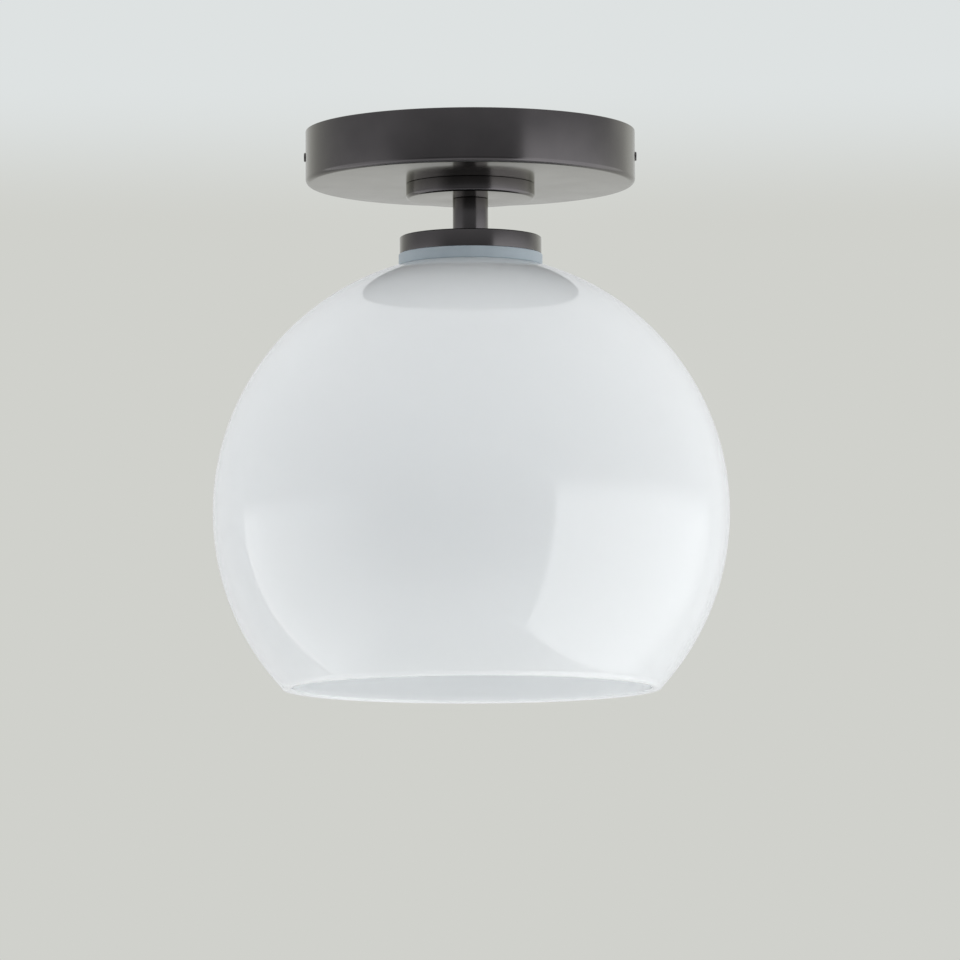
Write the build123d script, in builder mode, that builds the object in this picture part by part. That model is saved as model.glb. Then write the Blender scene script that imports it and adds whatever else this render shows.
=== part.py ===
from build123d import *
from math import pi, radians, sqrt, tan
import os

os.makedirs("parts", exist_ok=True)

# A ceiling light with a milk glass globe, in millimetres.
# The ceiling is z = 0, the light hangs down from it along its own axis x = y = 0,
# and its two side screws lie on the X axis.

# Fits, each as a gap on the radius
thread_gap = 0.05
running_gap = 0.08
passing_gap = 0.25
loose_gap = 0.6

# Canopy
canopy_diameter = 160.0
canopy_height = 26.0
canopy_wall = 1.2
canopy_edge_radius = 2.4

# Side screws, which hold the canopy to its bracket
side_screw_drop = 12.4
side_screw_diameter = 3.0
side_screw_reach = 8.0
side_screw_head_diameter = 4.4
side_screw_head_height = 0.8
side_screw_slot_width = 0.7
side_screw_slot_depth = 0.4

# Mounting bracket, a steel strip with an ear bent down at each end
bracket_width = 24.0
bracket_thickness = 2.0
bracket_ear_height = 19.0
bracket_bend_radius = 1.5
bracket_canopy_gap = 0.3
bracket_hole_diameter = 20.0
box_slot_spacing = 79.4
box_slot_length = 16.0
box_slot_width = 4.8
ear_corner_radius = 4.0

# Ground screw
ground_screw_x = 21.0
ground_screw_diameter = 4.8
ground_screw_head_diameter = 9.0
ground_screw_head_height = 2.4
ground_screw_head_edge = 0.6
ground_screw_slot_width = 1.2
ground_screw_slot_depth = 1.0

# Hollow threaded nipple, which runs from the canopy into the lampholder
nipple_diameter = 10.0
nipple_bore = 7.0
nipple_spare = 3.0
nipple_holder_depth = 8.0
locknut_across_flats = 14.0
locknut_height = 5.0
locknut_chamfer = 0.6
lock_washer_diameter = 18.0
lock_washer_ring_diameter = 14.0
lock_washer_thickness = 1.0
lock_washer_teeth = 12
lock_washer_tooth_width = 1.6

# Wire bushing in the top of the nipple
bushing_flange_diameter = 10.4
bushing_flange_thickness = 1.2
bushing_depth = 5.0
bushing_wall = 0.8

# Collar under the canopy and the stem tube below it
collar_diameter = 62.4
collar_height = 7.2
collar_edge_radius = 1.6
collar_recess_depth = 4.5
collar_wall = 3.0
collar_hub_diameter = 24.0
stem_diameter = 17.2
stem_height = 18.7

# Cap over the globe, and the soft seat ring between them
cap_diameter = 68.8
cap_height = 8.4
cap_wall = 1.2
cap_edge_radius = 0.6
seat_overhang = 0.5
seat_height = 5.7
seat_bore_gap = 2.0
seat_lip_height = 3.0
seat_lip_wall = 3.0

# Milk glass globe
globe_diameter = 250.0
globe_wall = 3.5
globe_hole_gap = 1.2
globe_mouth_drop = 86.0
globe_rim_radius = 1.5

# Lampholder
holder_cap_diameter = 38.0
holder_cap_height = 14.0
holder_cap_wall = 2.2
holder_cap_edge_radius = 3.5
holder_boss_diameter = 16.0
holder_boss_depth = 9.0
holder_thread_diameter = 39.6
holder_thread_length = 14.6
holder_thread_pitch = 2.0
holder_groove_radius = 0.7
holder_groove_depth = 0.525
holder_barrel_diameter = 36.8
holder_spigot_height = 4.0
holder_bore = 30.4
holder_barrel_bore = 28.0
holder_mouth_bore = 32.4
holder_mouth_depth = 4.0
holder_length = 57.6
insert_drop = 22.6
insert_thickness = 5.5
insert_boss_diameter = 10.0
insert_boss_height = 2.0
insert_lip = 0.6

# Screw shell and spring contact inside the lampholder
bulb_thread_diameter = 26.0
bulb_thread_pitch = 3.629
bulb_groove_radius = 0.7
bulb_groove_depth = 0.525
shell_wall = 0.4
shell_flange_thickness = 0.5
shell_length = 25.0
shell_hole_diameter = 12.0
contact_flange_diameter = 5.8
contact_flange_height = 1.0
contact_pin_diameter = 4.4
contact_pin_length = 3.5
contact_tip_radius = 1.0
contact_press = 1.8145
spring_wire = 0.4
spring_turns = 5

# Terminals on the lampholder's insert
terminal_strip_width = 6.0
terminal_strip_thickness = 0.8
terminal_block_size = 6.0
terminal_x = 8.5
terminal_leg_width = 4.0
terminal_leg_x = 12.4
terminal_screw_diameter = 3.0
terminal_screw_head_diameter = 4.4
terminal_screw_head_height = 1.6
terminal_screw_slot_width = 0.5
terminal_screw_slot_depth = 0.8
lead_block_depth = 4.0

# Shade ring on the lampholder's thread, and the washer on it
ring_washer_thickness = 1.5
ring_washer_overhang = 0.5
ring_height = 8.0
ring_flange_thickness = 2.4
ring_flange_width = 5.5
ring_wall = 2.62
ring_ribs = 24
ring_rib_diameter = 2.4
ring_edge_radius = 0.6

# Bulb
bulb_length = 108.0
bulb_diameter = 60.0
bulb_tip_diameter = 9.6
bulb_tip_height = 1.0
bulb_insulator_height = 3.0
bulb_cap_length = 21.0
bulb_cap_wall = 1.2
bulb_cap_lip = 1.0
bulb_cap_lip_height = 1.2
bulb_neck_diameter = 27.4
bulb_neck_height = 4.0
bulb_housing_wall = 1.6
bulb_seam_rise = 8.0
bulb_diffuser_wall = 1.2
bulb_plug_depth = 8.0
bulb_plug_end = 1.2
bulb_plug_hole = 6.0
led_board_gap = 0.8
led_board_thickness = 1.6
led_count = 12
led_circle_diameter = 34.0
led_size = 3.0
led_height = 0.8
driver_width = 15.0
driver_length = 32.0
driver_thickness = 1.6
driver_coil_diameter = 9.0
driver_coil_height = 6.0
driver_coil_rise = 8.0
driver_can_diameter = 6.0
driver_can_rise = 16.0

# Leads and wire nuts inside the canopy
lead_diameter = 2.2
lead_offset = 1.25
ground_lead_diameter = 1.6
lead_top_drop = 6.2
lead_crest_dip = 1.0
lead_end_gap = 1.0
lead_bend_share = 0.45
wire_nut_drop = 17.2
wire_nut_length = 21.0
wire_nut_diameter = 12.0
wire_nut_tip_diameter = 7.4
wire_nut_bore = 7.6
wire_nut_bore_depth = 12.0
wire_nut_ribs = 10
wire_nut_rib_diameter = 1.4
wire_nut_rib_inset = 0.35
wire_nut_grip = 8.0
live_nut_x = 2.0
live_bend_x = 3.5
live_bend_y = 15.0
live_level_y = 25.0
neutral_nut_x = -24.0
neutral_bend_x = -13.0
neutral_bend_y = 9.0
neutral_level_y = 22.0
power_nut_y = 33.0
ground_nut_y = 27.0
ground_bend_gap = 3.0
ground_level_gap = 9.0

# Levels, from the ceiling down
canopy_floor = -canopy_height + canopy_wall
collar_top = -canopy_height
collar_bottom = collar_top - collar_height
cap_top = collar_bottom - stem_height
cap_ceiling = cap_top - cap_wall
cap_bottom = cap_top - cap_height
globe_top = cap_bottom - seat_height
seat_radius = cap_diameter / 2 + seat_overhang
globe_radius = globe_diameter / 2
globe_inner_radius = globe_radius - globe_wall
globe_flat_radius = seat_radius
globe_centre = globe_top - sqrt(globe_radius**2 - globe_flat_radius**2)
globe_under = globe_top - globe_wall
globe_mouth = globe_centre - globe_mouth_drop
ring_washer_bottom = globe_under - ring_washer_thickness
holder_top = cap_ceiling
holder_seam = holder_top - holder_cap_height
holder_thread_end = holder_seam - holder_thread_length
holder_bottom = holder_top - holder_length
insert_top = holder_top - insert_drop
insert_bottom = insert_top - insert_thickness
shell_top = insert_bottom
ledge = shell_top - shell_flange_thickness
strip_top = insert_top + terminal_strip_thickness
block_top = strip_top + terminal_block_size
contact_flange_bottom = insert_bottom - insert_boss_height + insert_lip + contact_press + running_gap
contact_top = contact_flange_bottom + contact_flange_height
contact_tip = contact_flange_bottom - contact_pin_length
bulb_tip = contact_tip
bulb_insulator_bottom = bulb_tip - bulb_tip_height - bulb_insulator_height
bulb_cap_bottom = bulb_insulator_bottom - bulb_cap_length
bulb_end = bulb_tip - bulb_length
bulb_centre = bulb_end + bulb_diameter / 2
bulb_seam = bulb_centre + bulb_seam_rise
washer_top = canopy_floor + lock_washer_thickness
locknut_top = washer_top + locknut_height
nipple_top = locknut_top + nipple_spare
nipple_bottom = holder_top - nipple_holder_depth
bushing_top = nipple_top + bushing_flange_thickness

# Radii and places that follow from the sizes above
canopy_radius = canopy_diameter / 2
canopy_inner_radius = canopy_radius - canopy_wall
ear_face = sqrt(canopy_inner_radius**2 - (bracket_width / 2) ** 2) - bracket_canopy_gap
nipple_radius = nipple_diameter / 2
nipple_pass_radius = nipple_radius + passing_gap
nipple_thread_radius = nipple_radius + thread_gap
holder_bore_radius = holder_bore / 2
insert_radius = holder_bore_radius - passing_gap / 2
shell_inner_radius = bulb_thread_diameter / 2 + running_gap
shell_outer_radius = shell_inner_radius + shell_wall
contact_radius = contact_flange_diameter / 2
bulb_cap_radius = bulb_thread_diameter / 2
holder_thread_radius = holder_thread_diameter / 2
globe_hole_radius = max(holder_thread_radius, holder_cap_diameter / 2) + globe_hole_gap
seat_bore_radius = globe_hole_radius + seat_bore_gap
ring_bore_radius = holder_thread_radius + running_gap
ring_hub_radius = ring_bore_radius + ring_wall
ring_radius = ring_hub_radius + ring_flange_width
ring_washer_radius = ring_radius + ring_washer_overhang
wire_nut_z = -wire_nut_drop


def write(piece, name):
    """Label a finished piece and write it to its own file."""
    piece.label = name
    export_step(piece, f"parts/{name}.step")


def bend_radii(points):
    """Give the arc radius at each inner point of a lead, from its two runs and its turn."""
    radii = []
    for before, here, after in zip(points, points[1:], points[2:]):
        run_in = Vector(*here) - Vector(*before)
        run_out = Vector(*after) - Vector(*here)
        turn = radians(run_in.get_angle(run_out))
        radii.append(lead_bend_share * min(run_in.length, run_out.length) / tan(turn / 2))
    return radii


def report_lead(name, radii, line, lead, diameter):
    """Print a lead's bend radii, its length and its volume against its section times its length."""
    length = sum(edge.length for edge in line.edges())
    plain_volume = pi * diameter**2 / 4 * length
    print(name, "bend radii", [round(radius, 1) for radius in radii])
    print(name, "length", round(length, 1), "volume share", round(lead.part.volume / plain_volume, 4))


# Canopy, a pressed steel pan
with BuildPart() as canopy:
    with BuildSketch(Plane.XZ):
        with BuildLine():
            Line((canopy_radius, 0), (canopy_radius, collar_top + canopy_edge_radius))
            RadiusArc(
                (canopy_radius, collar_top + canopy_edge_radius),
                (canopy_radius - canopy_edge_radius, collar_top),
                canopy_edge_radius,
            )
            Polyline(
                (canopy_radius - canopy_edge_radius, collar_top),
                (nipple_pass_radius, collar_top),
                (nipple_pass_radius, canopy_floor),
                (canopy_radius - canopy_edge_radius, canopy_floor),
            )
            RadiusArc(
                (canopy_radius - canopy_edge_radius, canopy_floor),
                (canopy_inner_radius, collar_top + canopy_edge_radius),
                -(canopy_edge_radius - canopy_wall),
            )
            Polyline(
                (canopy_inner_radius, collar_top + canopy_edge_radius),
                (canopy_inner_radius, 0),
                (canopy_radius, 0),
            )
        make_face()
    revolve(axis=Axis.Z)
    with BuildSketch(Plane.YZ):
        with Locations((0, -side_screw_drop)):
            Circle(side_screw_diameter / 2 + passing_gap)
    extrude(amount=canopy_radius, both=True, mode=Mode.SUBTRACT)
write(canopy.part, "canopy")

# Mounting bracket, which the outlet box's screws hold through its slots
with BuildPart() as mounting_bracket:
    with BuildSketch(Plane.XZ):
        with BuildLine():
            FilletPolyline(
                (-ear_face + bracket_thickness / 2, -bracket_ear_height),
                (-ear_face + bracket_thickness / 2, -bracket_thickness / 2),
                (ear_face - bracket_thickness / 2, -bracket_thickness / 2),
                (ear_face - bracket_thickness / 2, -bracket_ear_height),
                radius=bracket_bend_radius + bracket_thickness / 2,
            )
        trace(line_width=bracket_thickness)
    extrude(amount=bracket_width / 2, both=True)
    with BuildSketch(Plane.XY):
        Circle(bracket_hole_diameter / 2)
        with Locations((-box_slot_spacing / 2, 0), (box_slot_spacing / 2, 0)):
            SlotOverall(box_slot_length, box_slot_width)
        with Locations((ground_screw_x, 0)):
            Circle(ground_screw_diameter / 2 + thread_gap)
    extrude(amount=-bracket_thickness, mode=Mode.SUBTRACT)
    with BuildSketch(Plane.YZ):
        with Locations((0, -side_screw_drop)):
            Circle(side_screw_diameter / 2 + thread_gap)
    extrude(amount=ear_face, both=True, mode=Mode.SUBTRACT)
    ear_corners = mounting_bracket.edges().filter_by(Axis.X).group_by(Axis.Z)[0]
    fillet(ear_corners, ear_corner_radius)
write(mounting_bracket.part, "mounting_bracket")

# Side screws, with a low slotted head outside the canopy
with BuildPart() as canopy_screws:
    for side in (-1, 1):
        head_plane = Plane(origin=(side * canopy_radius, 0, -side_screw_drop), z_dir=(side, 0, 0))
        with BuildSketch(head_plane):
            Circle(side_screw_head_diameter / 2)
        extrude(amount=side_screw_head_height)
        head_rim = canopy_screws.faces().sort_by(Axis.X)[-1 if side > 0 else 0].edges()
        fillet(head_rim, side_screw_head_height / 2)
        with BuildSketch(head_plane):
            Circle(side_screw_diameter / 2)
        extrude(amount=-side_screw_reach)
        with BuildSketch(head_plane.offset(side_screw_head_height)):
            Rectangle(side_screw_head_diameter, side_screw_slot_width)
        extrude(amount=-side_screw_slot_depth, mode=Mode.SUBTRACT)
write(canopy_screws.part, "canopy_screws")

# Ground screw, under the bracket
with BuildPart() as ground_screw:
    ground_head_top = -bracket_thickness - ground_lead_diameter - 2 * thread_gap
    with BuildSketch(Plane.XY):
        with Locations((ground_screw_x, 0)):
            Circle(ground_screw_diameter / 2)
    extrude(amount=ground_head_top)
    with BuildSketch(Plane.XY.offset(ground_head_top)):
        with Locations((ground_screw_x, 0)):
            Circle(ground_screw_head_diameter / 2)
    extrude(amount=-ground_screw_head_height)
    head_edge = ground_screw.edges().filter_by(GeomType.CIRCLE).sort_by(Axis.Z)[0]
    fillet(head_edge, ground_screw_head_edge)
    with BuildSketch(Plane.XY.offset(ground_head_top - ground_screw_head_height)):
        with Locations((ground_screw_x, 0)):
            Rectangle(ground_screw_head_diameter, ground_screw_slot_width)
    extrude(amount=ground_screw_slot_depth, mode=Mode.SUBTRACT)
write(ground_screw.part, "ground_screw")

# Threaded nipple, one hollow tube from the canopy to the lampholder
with BuildPart() as threaded_nipple:
    with BuildSketch(Plane.XY.offset(nipple_bottom)):
        Circle(nipple_radius)
        Circle(nipple_bore / 2, mode=Mode.SUBTRACT)
    extrude(amount=nipple_top - nipple_bottom)
write(threaded_nipple.part, "threaded_nipple")

# Toothed lock washer on the canopy's floor
with BuildPart() as lock_washer:
    with BuildSketch(Plane.XY.offset(canopy_floor)):
        Circle(lock_washer_ring_diameter / 2)
        with PolarLocations(lock_washer_diameter / 4, lock_washer_teeth):
            Rectangle(lock_washer_diameter / 2, lock_washer_tooth_width)
        Circle(nipple_pass_radius, mode=Mode.SUBTRACT)
    extrude(amount=lock_washer_thickness)
write(lock_washer.part, "lock_washer")

# Locknut, which draws the canopy, collar, stem and cap together
with BuildPart() as locknut:
    with BuildSketch(Plane.XY.offset(washer_top)):
        RegularPolygon(locknut_across_flats / 2, 6, major_radius=False)
        Circle(nipple_thread_radius, mode=Mode.SUBTRACT)
    extrude(amount=locknut_height)
    chamfer(locknut.faces().sort_by(Axis.Z)[-1].outer_wire().edges(), locknut_chamfer)
write(locknut.part, "locknut")

# Wire bushing in the nipple's upper end
with BuildPart() as wire_bushing:
    with BuildSketch(Plane.XY.offset(nipple_top)):
        Circle(bushing_flange_diameter / 2)
    extrude(amount=bushing_flange_thickness)
    fillet(wire_bushing.faces().sort_by(Axis.Z)[-1].edges(), bushing_flange_thickness / 2)
    with BuildSketch(Plane.XY.offset(nipple_top)):
        Circle(nipple_bore / 2 - thread_gap)
    extrude(amount=-bushing_depth)
    with BuildSketch(Plane.XY.offset(bushing_top)):
        Circle(nipple_bore / 2 - thread_gap - bushing_wall)
    extrude(amount=-bushing_flange_thickness - bushing_depth, mode=Mode.SUBTRACT)
write(wire_bushing.part, "wire_bushing")

# Collar, a turned disc under the canopy, hollowed from above
with BuildPart() as collar:
    with BuildSketch(Plane.XY.offset(collar_bottom)):
        Circle(collar_diameter / 2)
    extrude(amount=collar_height)
    fillet(collar.edges().filter_by(GeomType.CIRCLE).sort_by(Axis.Z)[0], collar_edge_radius)
    with BuildSketch(Plane.XY.offset(collar_top)):
        Circle(collar_diameter / 2 - collar_wall)
        Circle(collar_hub_diameter / 2, mode=Mode.SUBTRACT)
    extrude(amount=-collar_recess_depth, mode=Mode.SUBTRACT)
    with BuildSketch(Plane.XY.offset(collar_top)):
        Circle(nipple_pass_radius)
    extrude(amount=-collar_height, mode=Mode.SUBTRACT)
write(collar.part, "collar")

# Stem tube, a spacer round the nipple
with BuildPart() as stem_tube:
    with BuildSketch(Plane.XY.offset(cap_top)):
        Circle(stem_diameter / 2)
        Circle(nipple_pass_radius, mode=Mode.SUBTRACT)
    extrude(amount=stem_height)
write(stem_tube.part, "stem_tube")

# Shade cap, a shallow pressed cup over the globe's top
with BuildPart() as shade_cap:
    with BuildSketch(Plane.XY.offset(cap_bottom)):
        Circle(cap_diameter / 2)
    extrude(amount=cap_height)
    fillet(shade_cap.faces().sort_by(Axis.Z)[-1].edges(), cap_edge_radius)
    with BuildSketch(Plane.XY.offset(cap_bottom)):
        Circle(cap_diameter / 2 - cap_wall)
    extrude(amount=cap_height - cap_wall, mode=Mode.SUBTRACT)
    with BuildSketch(Plane.XY.offset(cap_bottom)):
        Circle(nipple_pass_radius)
    extrude(amount=cap_height, mode=Mode.SUBTRACT)
write(shade_cap.part, "shade_cap")

# Soft seat ring between the cap and the globe, with a lip that centres it in the cap
with BuildPart() as seat_ring:
    with BuildSketch(Plane.XY.offset(globe_top)):
        Circle(seat_radius)
    extrude(amount=seat_height)
    seat_lip_radius = cap_diameter / 2 - cap_wall - passing_gap
    with BuildSketch(Plane.XY.offset(cap_bottom)):
        Circle(seat_lip_radius)
    extrude(amount=seat_lip_height)
    with BuildSketch(Plane.XY.offset(globe_top)):
        Circle(seat_bore_radius)
    extrude(amount=seat_height, mode=Mode.SUBTRACT)
    with BuildSketch(Plane.XY.offset(cap_bottom)):
        Circle(seat_lip_radius - seat_lip_wall)
    extrude(amount=seat_lip_height, mode=Mode.SUBTRACT)
write(seat_ring.part, "seat_ring")

# Milk glass globe, blown with a flat top round its hole and an open mouth below
with BuildPart() as glass_shade:
    with BuildSketch(Plane.XZ):
        outer_mouth_radius = sqrt(globe_radius**2 - globe_mouth_drop**2)
        inner_mouth_radius = sqrt(globe_inner_radius**2 - globe_mouth_drop**2)
        inner_flat_radius = sqrt(globe_inner_radius**2 - (globe_under - globe_centre) ** 2)
        with BuildLine():
            RadiusArc(
                (globe_flat_radius, globe_top),
                (globe_radius, globe_centre),
                globe_radius,
            )
            RadiusArc(
                (globe_radius, globe_centre),
                (outer_mouth_radius, globe_mouth),
                globe_radius,
            )
            Line((outer_mouth_radius, globe_mouth), (inner_mouth_radius, globe_mouth))
            RadiusArc(
                (inner_mouth_radius, globe_mouth),
                (globe_inner_radius, globe_centre),
                -globe_inner_radius,
            )
            RadiusArc(
                (globe_inner_radius, globe_centre),
                (inner_flat_radius, globe_under),
                -globe_inner_radius,
            )
            Polyline(
                (inner_flat_radius, globe_under),
                (globe_hole_radius, globe_under),
                (globe_hole_radius, globe_top),
                (globe_flat_radius, globe_top),
            )
        make_face()
    revolve(axis=Axis.Z)
    fillet(glass_shade.faces().sort_by(Axis.Z)[0].edges(), globe_rim_radius)
write(glass_shade.part, "glass_shade")

# Washer between the glass and the shade ring
with BuildPart() as ring_washer:
    with BuildSketch(Plane.XY.offset(ring_washer_bottom)):
        Circle(ring_washer_radius)
        Circle(holder_thread_radius + loose_gap, mode=Mode.SUBTRACT)
    extrude(amount=ring_washer_thickness)
write(ring_washer.part, "ring_washer")

# Shade ring, which screws up the lampholder and carries the glass
with BuildPart() as shade_ring:
    with BuildSketch(Plane.XY.offset(ring_washer_bottom)):
        Circle(ring_radius)
    extrude(amount=-ring_flange_thickness)
    fillet(shade_ring.edges().filter_by(GeomType.CIRCLE).sort_by(Axis.Z)[0], ring_edge_radius)
    with BuildSketch(Plane.XY.offset(ring_washer_bottom - ring_flange_thickness)):
        Circle(ring_hub_radius)
        with PolarLocations(ring_hub_radius, ring_ribs):
            Circle(ring_rib_diameter / 2)
    extrude(amount=-(ring_height - ring_flange_thickness))
    with BuildSketch(Plane.XY.offset(ring_washer_bottom)):
        Circle(ring_bore_radius)
    extrude(amount=-ring_height, mode=Mode.SUBTRACT)
write(shade_ring.part, "shade_ring")

# Lampholder cap, a moulded dome that screws onto the nipple
with BuildPart() as holder_cap:
    with BuildSketch(Plane.XY.offset(holder_seam)):
        Circle(holder_cap_diameter / 2)
    extrude(amount=holder_cap_height)
    fillet(holder_cap.faces().sort_by(Axis.Z)[-1].edges(), holder_cap_edge_radius)
    with BuildSketch(Plane.XY.offset(holder_seam)):
        Circle(holder_cap_diameter / 2 - holder_cap_wall)
    extrude(amount=holder_cap_height - holder_cap_wall, mode=Mode.SUBTRACT)
    with BuildSketch(Plane.XY.offset(holder_top - holder_cap_wall)):
        Circle(holder_boss_diameter / 2)
    extrude(amount=holder_cap_wall - holder_boss_depth)
    with BuildSketch(Plane.XY.offset(holder_top)):
        Circle(nipple_thread_radius)
    extrude(amount=-holder_boss_depth, mode=Mode.SUBTRACT)
write(holder_cap.part, "holder_cap")

# Lampholder body, threaded outside for the shade ring
with BuildPart() as holder_body:
    with BuildSketch(Plane.XY.offset(holder_seam)):
        Circle(holder_thread_radius)
    extrude(amount=-holder_thread_length)
    with BuildSketch(Plane.XY.offset(holder_thread_end)):
        Circle(holder_barrel_diameter / 2)
    extrude(amount=holder_bottom - holder_thread_end)
    with BuildSketch(Plane.XY.offset(holder_seam)):
        Circle(holder_cap_diameter / 2 - holder_cap_wall - thread_gap)
    extrude(amount=holder_spigot_height)
    with BuildSketch(Plane.XY.offset(ledge)):
        Circle(holder_bore_radius)
    extrude(amount=holder_seam + holder_spigot_height - ledge, mode=Mode.SUBTRACT)
    with BuildSketch(Plane.XY.offset(ledge)):
        Circle(holder_barrel_bore / 2)
    extrude(amount=holder_bottom - ledge, mode=Mode.SUBTRACT)
    with BuildSketch(Plane.XY.offset(holder_bottom)):
        Circle(holder_mouth_bore / 2)
    extrude(amount=holder_mouth_depth, mode=Mode.SUBTRACT)
    with BuildLine() as thread_line:
        Helix(
            pitch=holder_thread_pitch,
            height=holder_thread_length - 2 * holder_thread_pitch,
            radius=holder_thread_radius + holder_groove_radius - holder_groove_depth,
            center=(0, 0, holder_thread_end + holder_thread_pitch),
        )
    with BuildSketch(Plane(origin=thread_line.line @ 0, z_dir=thread_line.line % 0)) as thread_cut:
        Circle(holder_groove_radius)
    sweep(sections=thread_cut.sketch, path=thread_line.line, is_frenet=True, mode=Mode.SUBTRACT)
write(holder_body.part, "holder_body")

# Insert, the moulded plate that carries the contacts
with BuildPart() as holder_insert:
    with BuildSketch(Plane.XY.offset(insert_bottom)):
        Circle(insert_radius)
    extrude(amount=insert_thickness)
    with BuildSketch(Plane.XY.offset(insert_bottom)):
        Circle(insert_boss_diameter / 2)
    extrude(amount=-insert_boss_height)
    with BuildSketch(Plane.XY.offset(insert_top)):
        Circle(contact_radius + running_gap)
        with Locations((-terminal_leg_x, 0)):
            Rectangle(terminal_strip_thickness + 2 * thread_gap, terminal_leg_width + 2 * thread_gap)
    extrude(amount=-(insert_thickness + insert_boss_height - insert_lip), mode=Mode.SUBTRACT)
    with BuildSketch(Plane.XY.offset(insert_top)):
        Circle(contact_pin_diameter / 2 + running_gap)
    extrude(amount=-(insert_thickness + insert_boss_height), mode=Mode.SUBTRACT)
write(holder_insert.part, "holder_insert")

# Screw shell, the lampholder's side contact
with BuildPart() as screw_shell:
    with BuildSketch(Plane.XY.offset(shell_top)):
        Circle(insert_radius)
    extrude(amount=-shell_flange_thickness)
    with BuildSketch(Plane.XY.offset(shell_top)):
        Circle(shell_outer_radius)
    extrude(amount=-shell_length)
    with BuildSketch(Plane.XY.offset(shell_top - shell_length)):
        Circle(shell_inner_radius)
    extrude(amount=shell_length - shell_flange_thickness, mode=Mode.SUBTRACT)
    with BuildSketch(Plane.XY.offset(shell_top)):
        Circle(shell_hole_diameter / 2)
    extrude(amount=-shell_flange_thickness, mode=Mode.SUBTRACT)
write(screw_shell.part, "screw_shell")

# Centre contact, a sprung pin that follows the bulb's tip
with BuildPart() as centre_contact:
    with BuildSketch(Plane.XY.offset(contact_flange_bottom)):
        Circle(contact_radius)
    extrude(amount=contact_flange_height)
    with BuildSketch(Plane.XY.offset(contact_flange_bottom)):
        Circle(contact_pin_diameter / 2)
    extrude(amount=-contact_pin_length)
    fillet(centre_contact.faces().sort_by(Axis.Z)[0].edges(), contact_tip_radius)
write(centre_contact.part, "centre_contact")

# Contact spring, between the line terminal and the centre contact
with BuildPart() as contact_spring:
    spring_height = insert_top - contact_top - spring_wire - 2 * thread_gap
    with BuildLine() as spring_line:
        Helix(
            pitch=spring_height / spring_turns,
            height=spring_height,
            radius=contact_radius - spring_wire,
            center=(0, 0, contact_top + spring_wire / 2 + thread_gap),
        )
    with BuildSketch(Plane(origin=spring_line.line @ 0, z_dir=spring_line.line % 0)) as spring_section:
        Circle(spring_wire / 2)
    sweep(sections=spring_section.sketch, path=spring_line.line, is_frenet=True)
write(contact_spring.part, "contact_spring")

# Line terminal, a brass strip over the spring with a block for the live lead
with BuildPart() as line_terminal:
    with BuildSketch(Plane.XY.offset(insert_top)):
        with Locations((terminal_x / 2, 0)):
            Rectangle(terminal_x + terminal_block_size, terminal_strip_width)
    extrude(amount=terminal_strip_thickness)
    with BuildSketch(Plane.XY.offset(strip_top)):
        with Locations((terminal_x, 0)):
            Rectangle(terminal_block_size, terminal_block_size)
    extrude(amount=terminal_block_size)
    with BuildSketch(Plane.XY.offset(block_top)):
        with Locations((terminal_x, 0)):
            Circle(lead_diameter / 2 + thread_gap)
    extrude(amount=-lead_block_depth, mode=Mode.SUBTRACT)
    terminal_screw_z = block_top - lead_block_depth / 2
    block_face = Plane(origin=(terminal_x, -terminal_block_size / 2, terminal_screw_z), z_dir=(0, -1, 0))
    with BuildSketch(block_face):
        Circle(terminal_screw_diameter / 2 + thread_gap)
    extrude(amount=-terminal_block_size / 2, mode=Mode.SUBTRACT)
write(line_terminal.part, "line_terminal")

# Neutral terminal, with a leg through the insert to the screw shell
with BuildPart() as neutral_terminal:
    with BuildSketch(Plane.XY.offset(insert_top)):
        strip_start = terminal_x - terminal_block_size / 2
        strip_end = terminal_leg_x + terminal_strip_thickness / 2
        with Locations((-(strip_start + strip_end) / 2, 0)):
            Rectangle(strip_end - strip_start, terminal_leg_width)
    extrude(amount=terminal_strip_thickness)
    with BuildSketch(Plane.XY.offset(insert_top)):
        with Locations((-terminal_leg_x, 0)):
            Rectangle(terminal_strip_thickness, terminal_leg_width)
    extrude(amount=-insert_thickness)
    with BuildSketch(Plane.XY.offset(strip_top)):
        with Locations((-terminal_x, 0)):
            Rectangle(terminal_block_size, terminal_block_size)
    extrude(amount=terminal_block_size)
    with BuildSketch(Plane.XY.offset(block_top)):
        with Locations((-terminal_x, 0)):
            Circle(lead_diameter / 2 + thread_gap)
    extrude(amount=-lead_block_depth, mode=Mode.SUBTRACT)
    block_face = Plane(origin=(-terminal_x, -terminal_block_size / 2, terminal_screw_z), z_dir=(0, -1, 0))
    with BuildSketch(block_face):
        Circle(terminal_screw_diameter / 2 + thread_gap)
    extrude(amount=-terminal_block_size / 2, mode=Mode.SUBTRACT)
write(neutral_terminal.part, "neutral_terminal")

# Terminal screws, one in the side of each block
with BuildPart() as terminal_screws:
    for x in (-terminal_x, terminal_x):
        screw_seat = Plane(origin=(x, -terminal_block_size / 2, terminal_screw_z), z_dir=(0, -1, 0))
        with BuildSketch(screw_seat):
            Circle(terminal_screw_head_diameter / 2)
        extrude(amount=terminal_screw_head_height)
        with BuildSketch(screw_seat):
            Circle(terminal_screw_diameter / 2)
        extrude(amount=-(terminal_block_size / 2 - lead_diameter / 2 - thread_gap))
        with BuildSketch(screw_seat.offset(terminal_screw_head_height)):
            Rectangle(terminal_screw_head_diameter, terminal_screw_slot_width)
        extrude(amount=-terminal_screw_slot_depth, mode=Mode.SUBTRACT)
write(terminal_screws.part, "terminal_screws")

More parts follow.
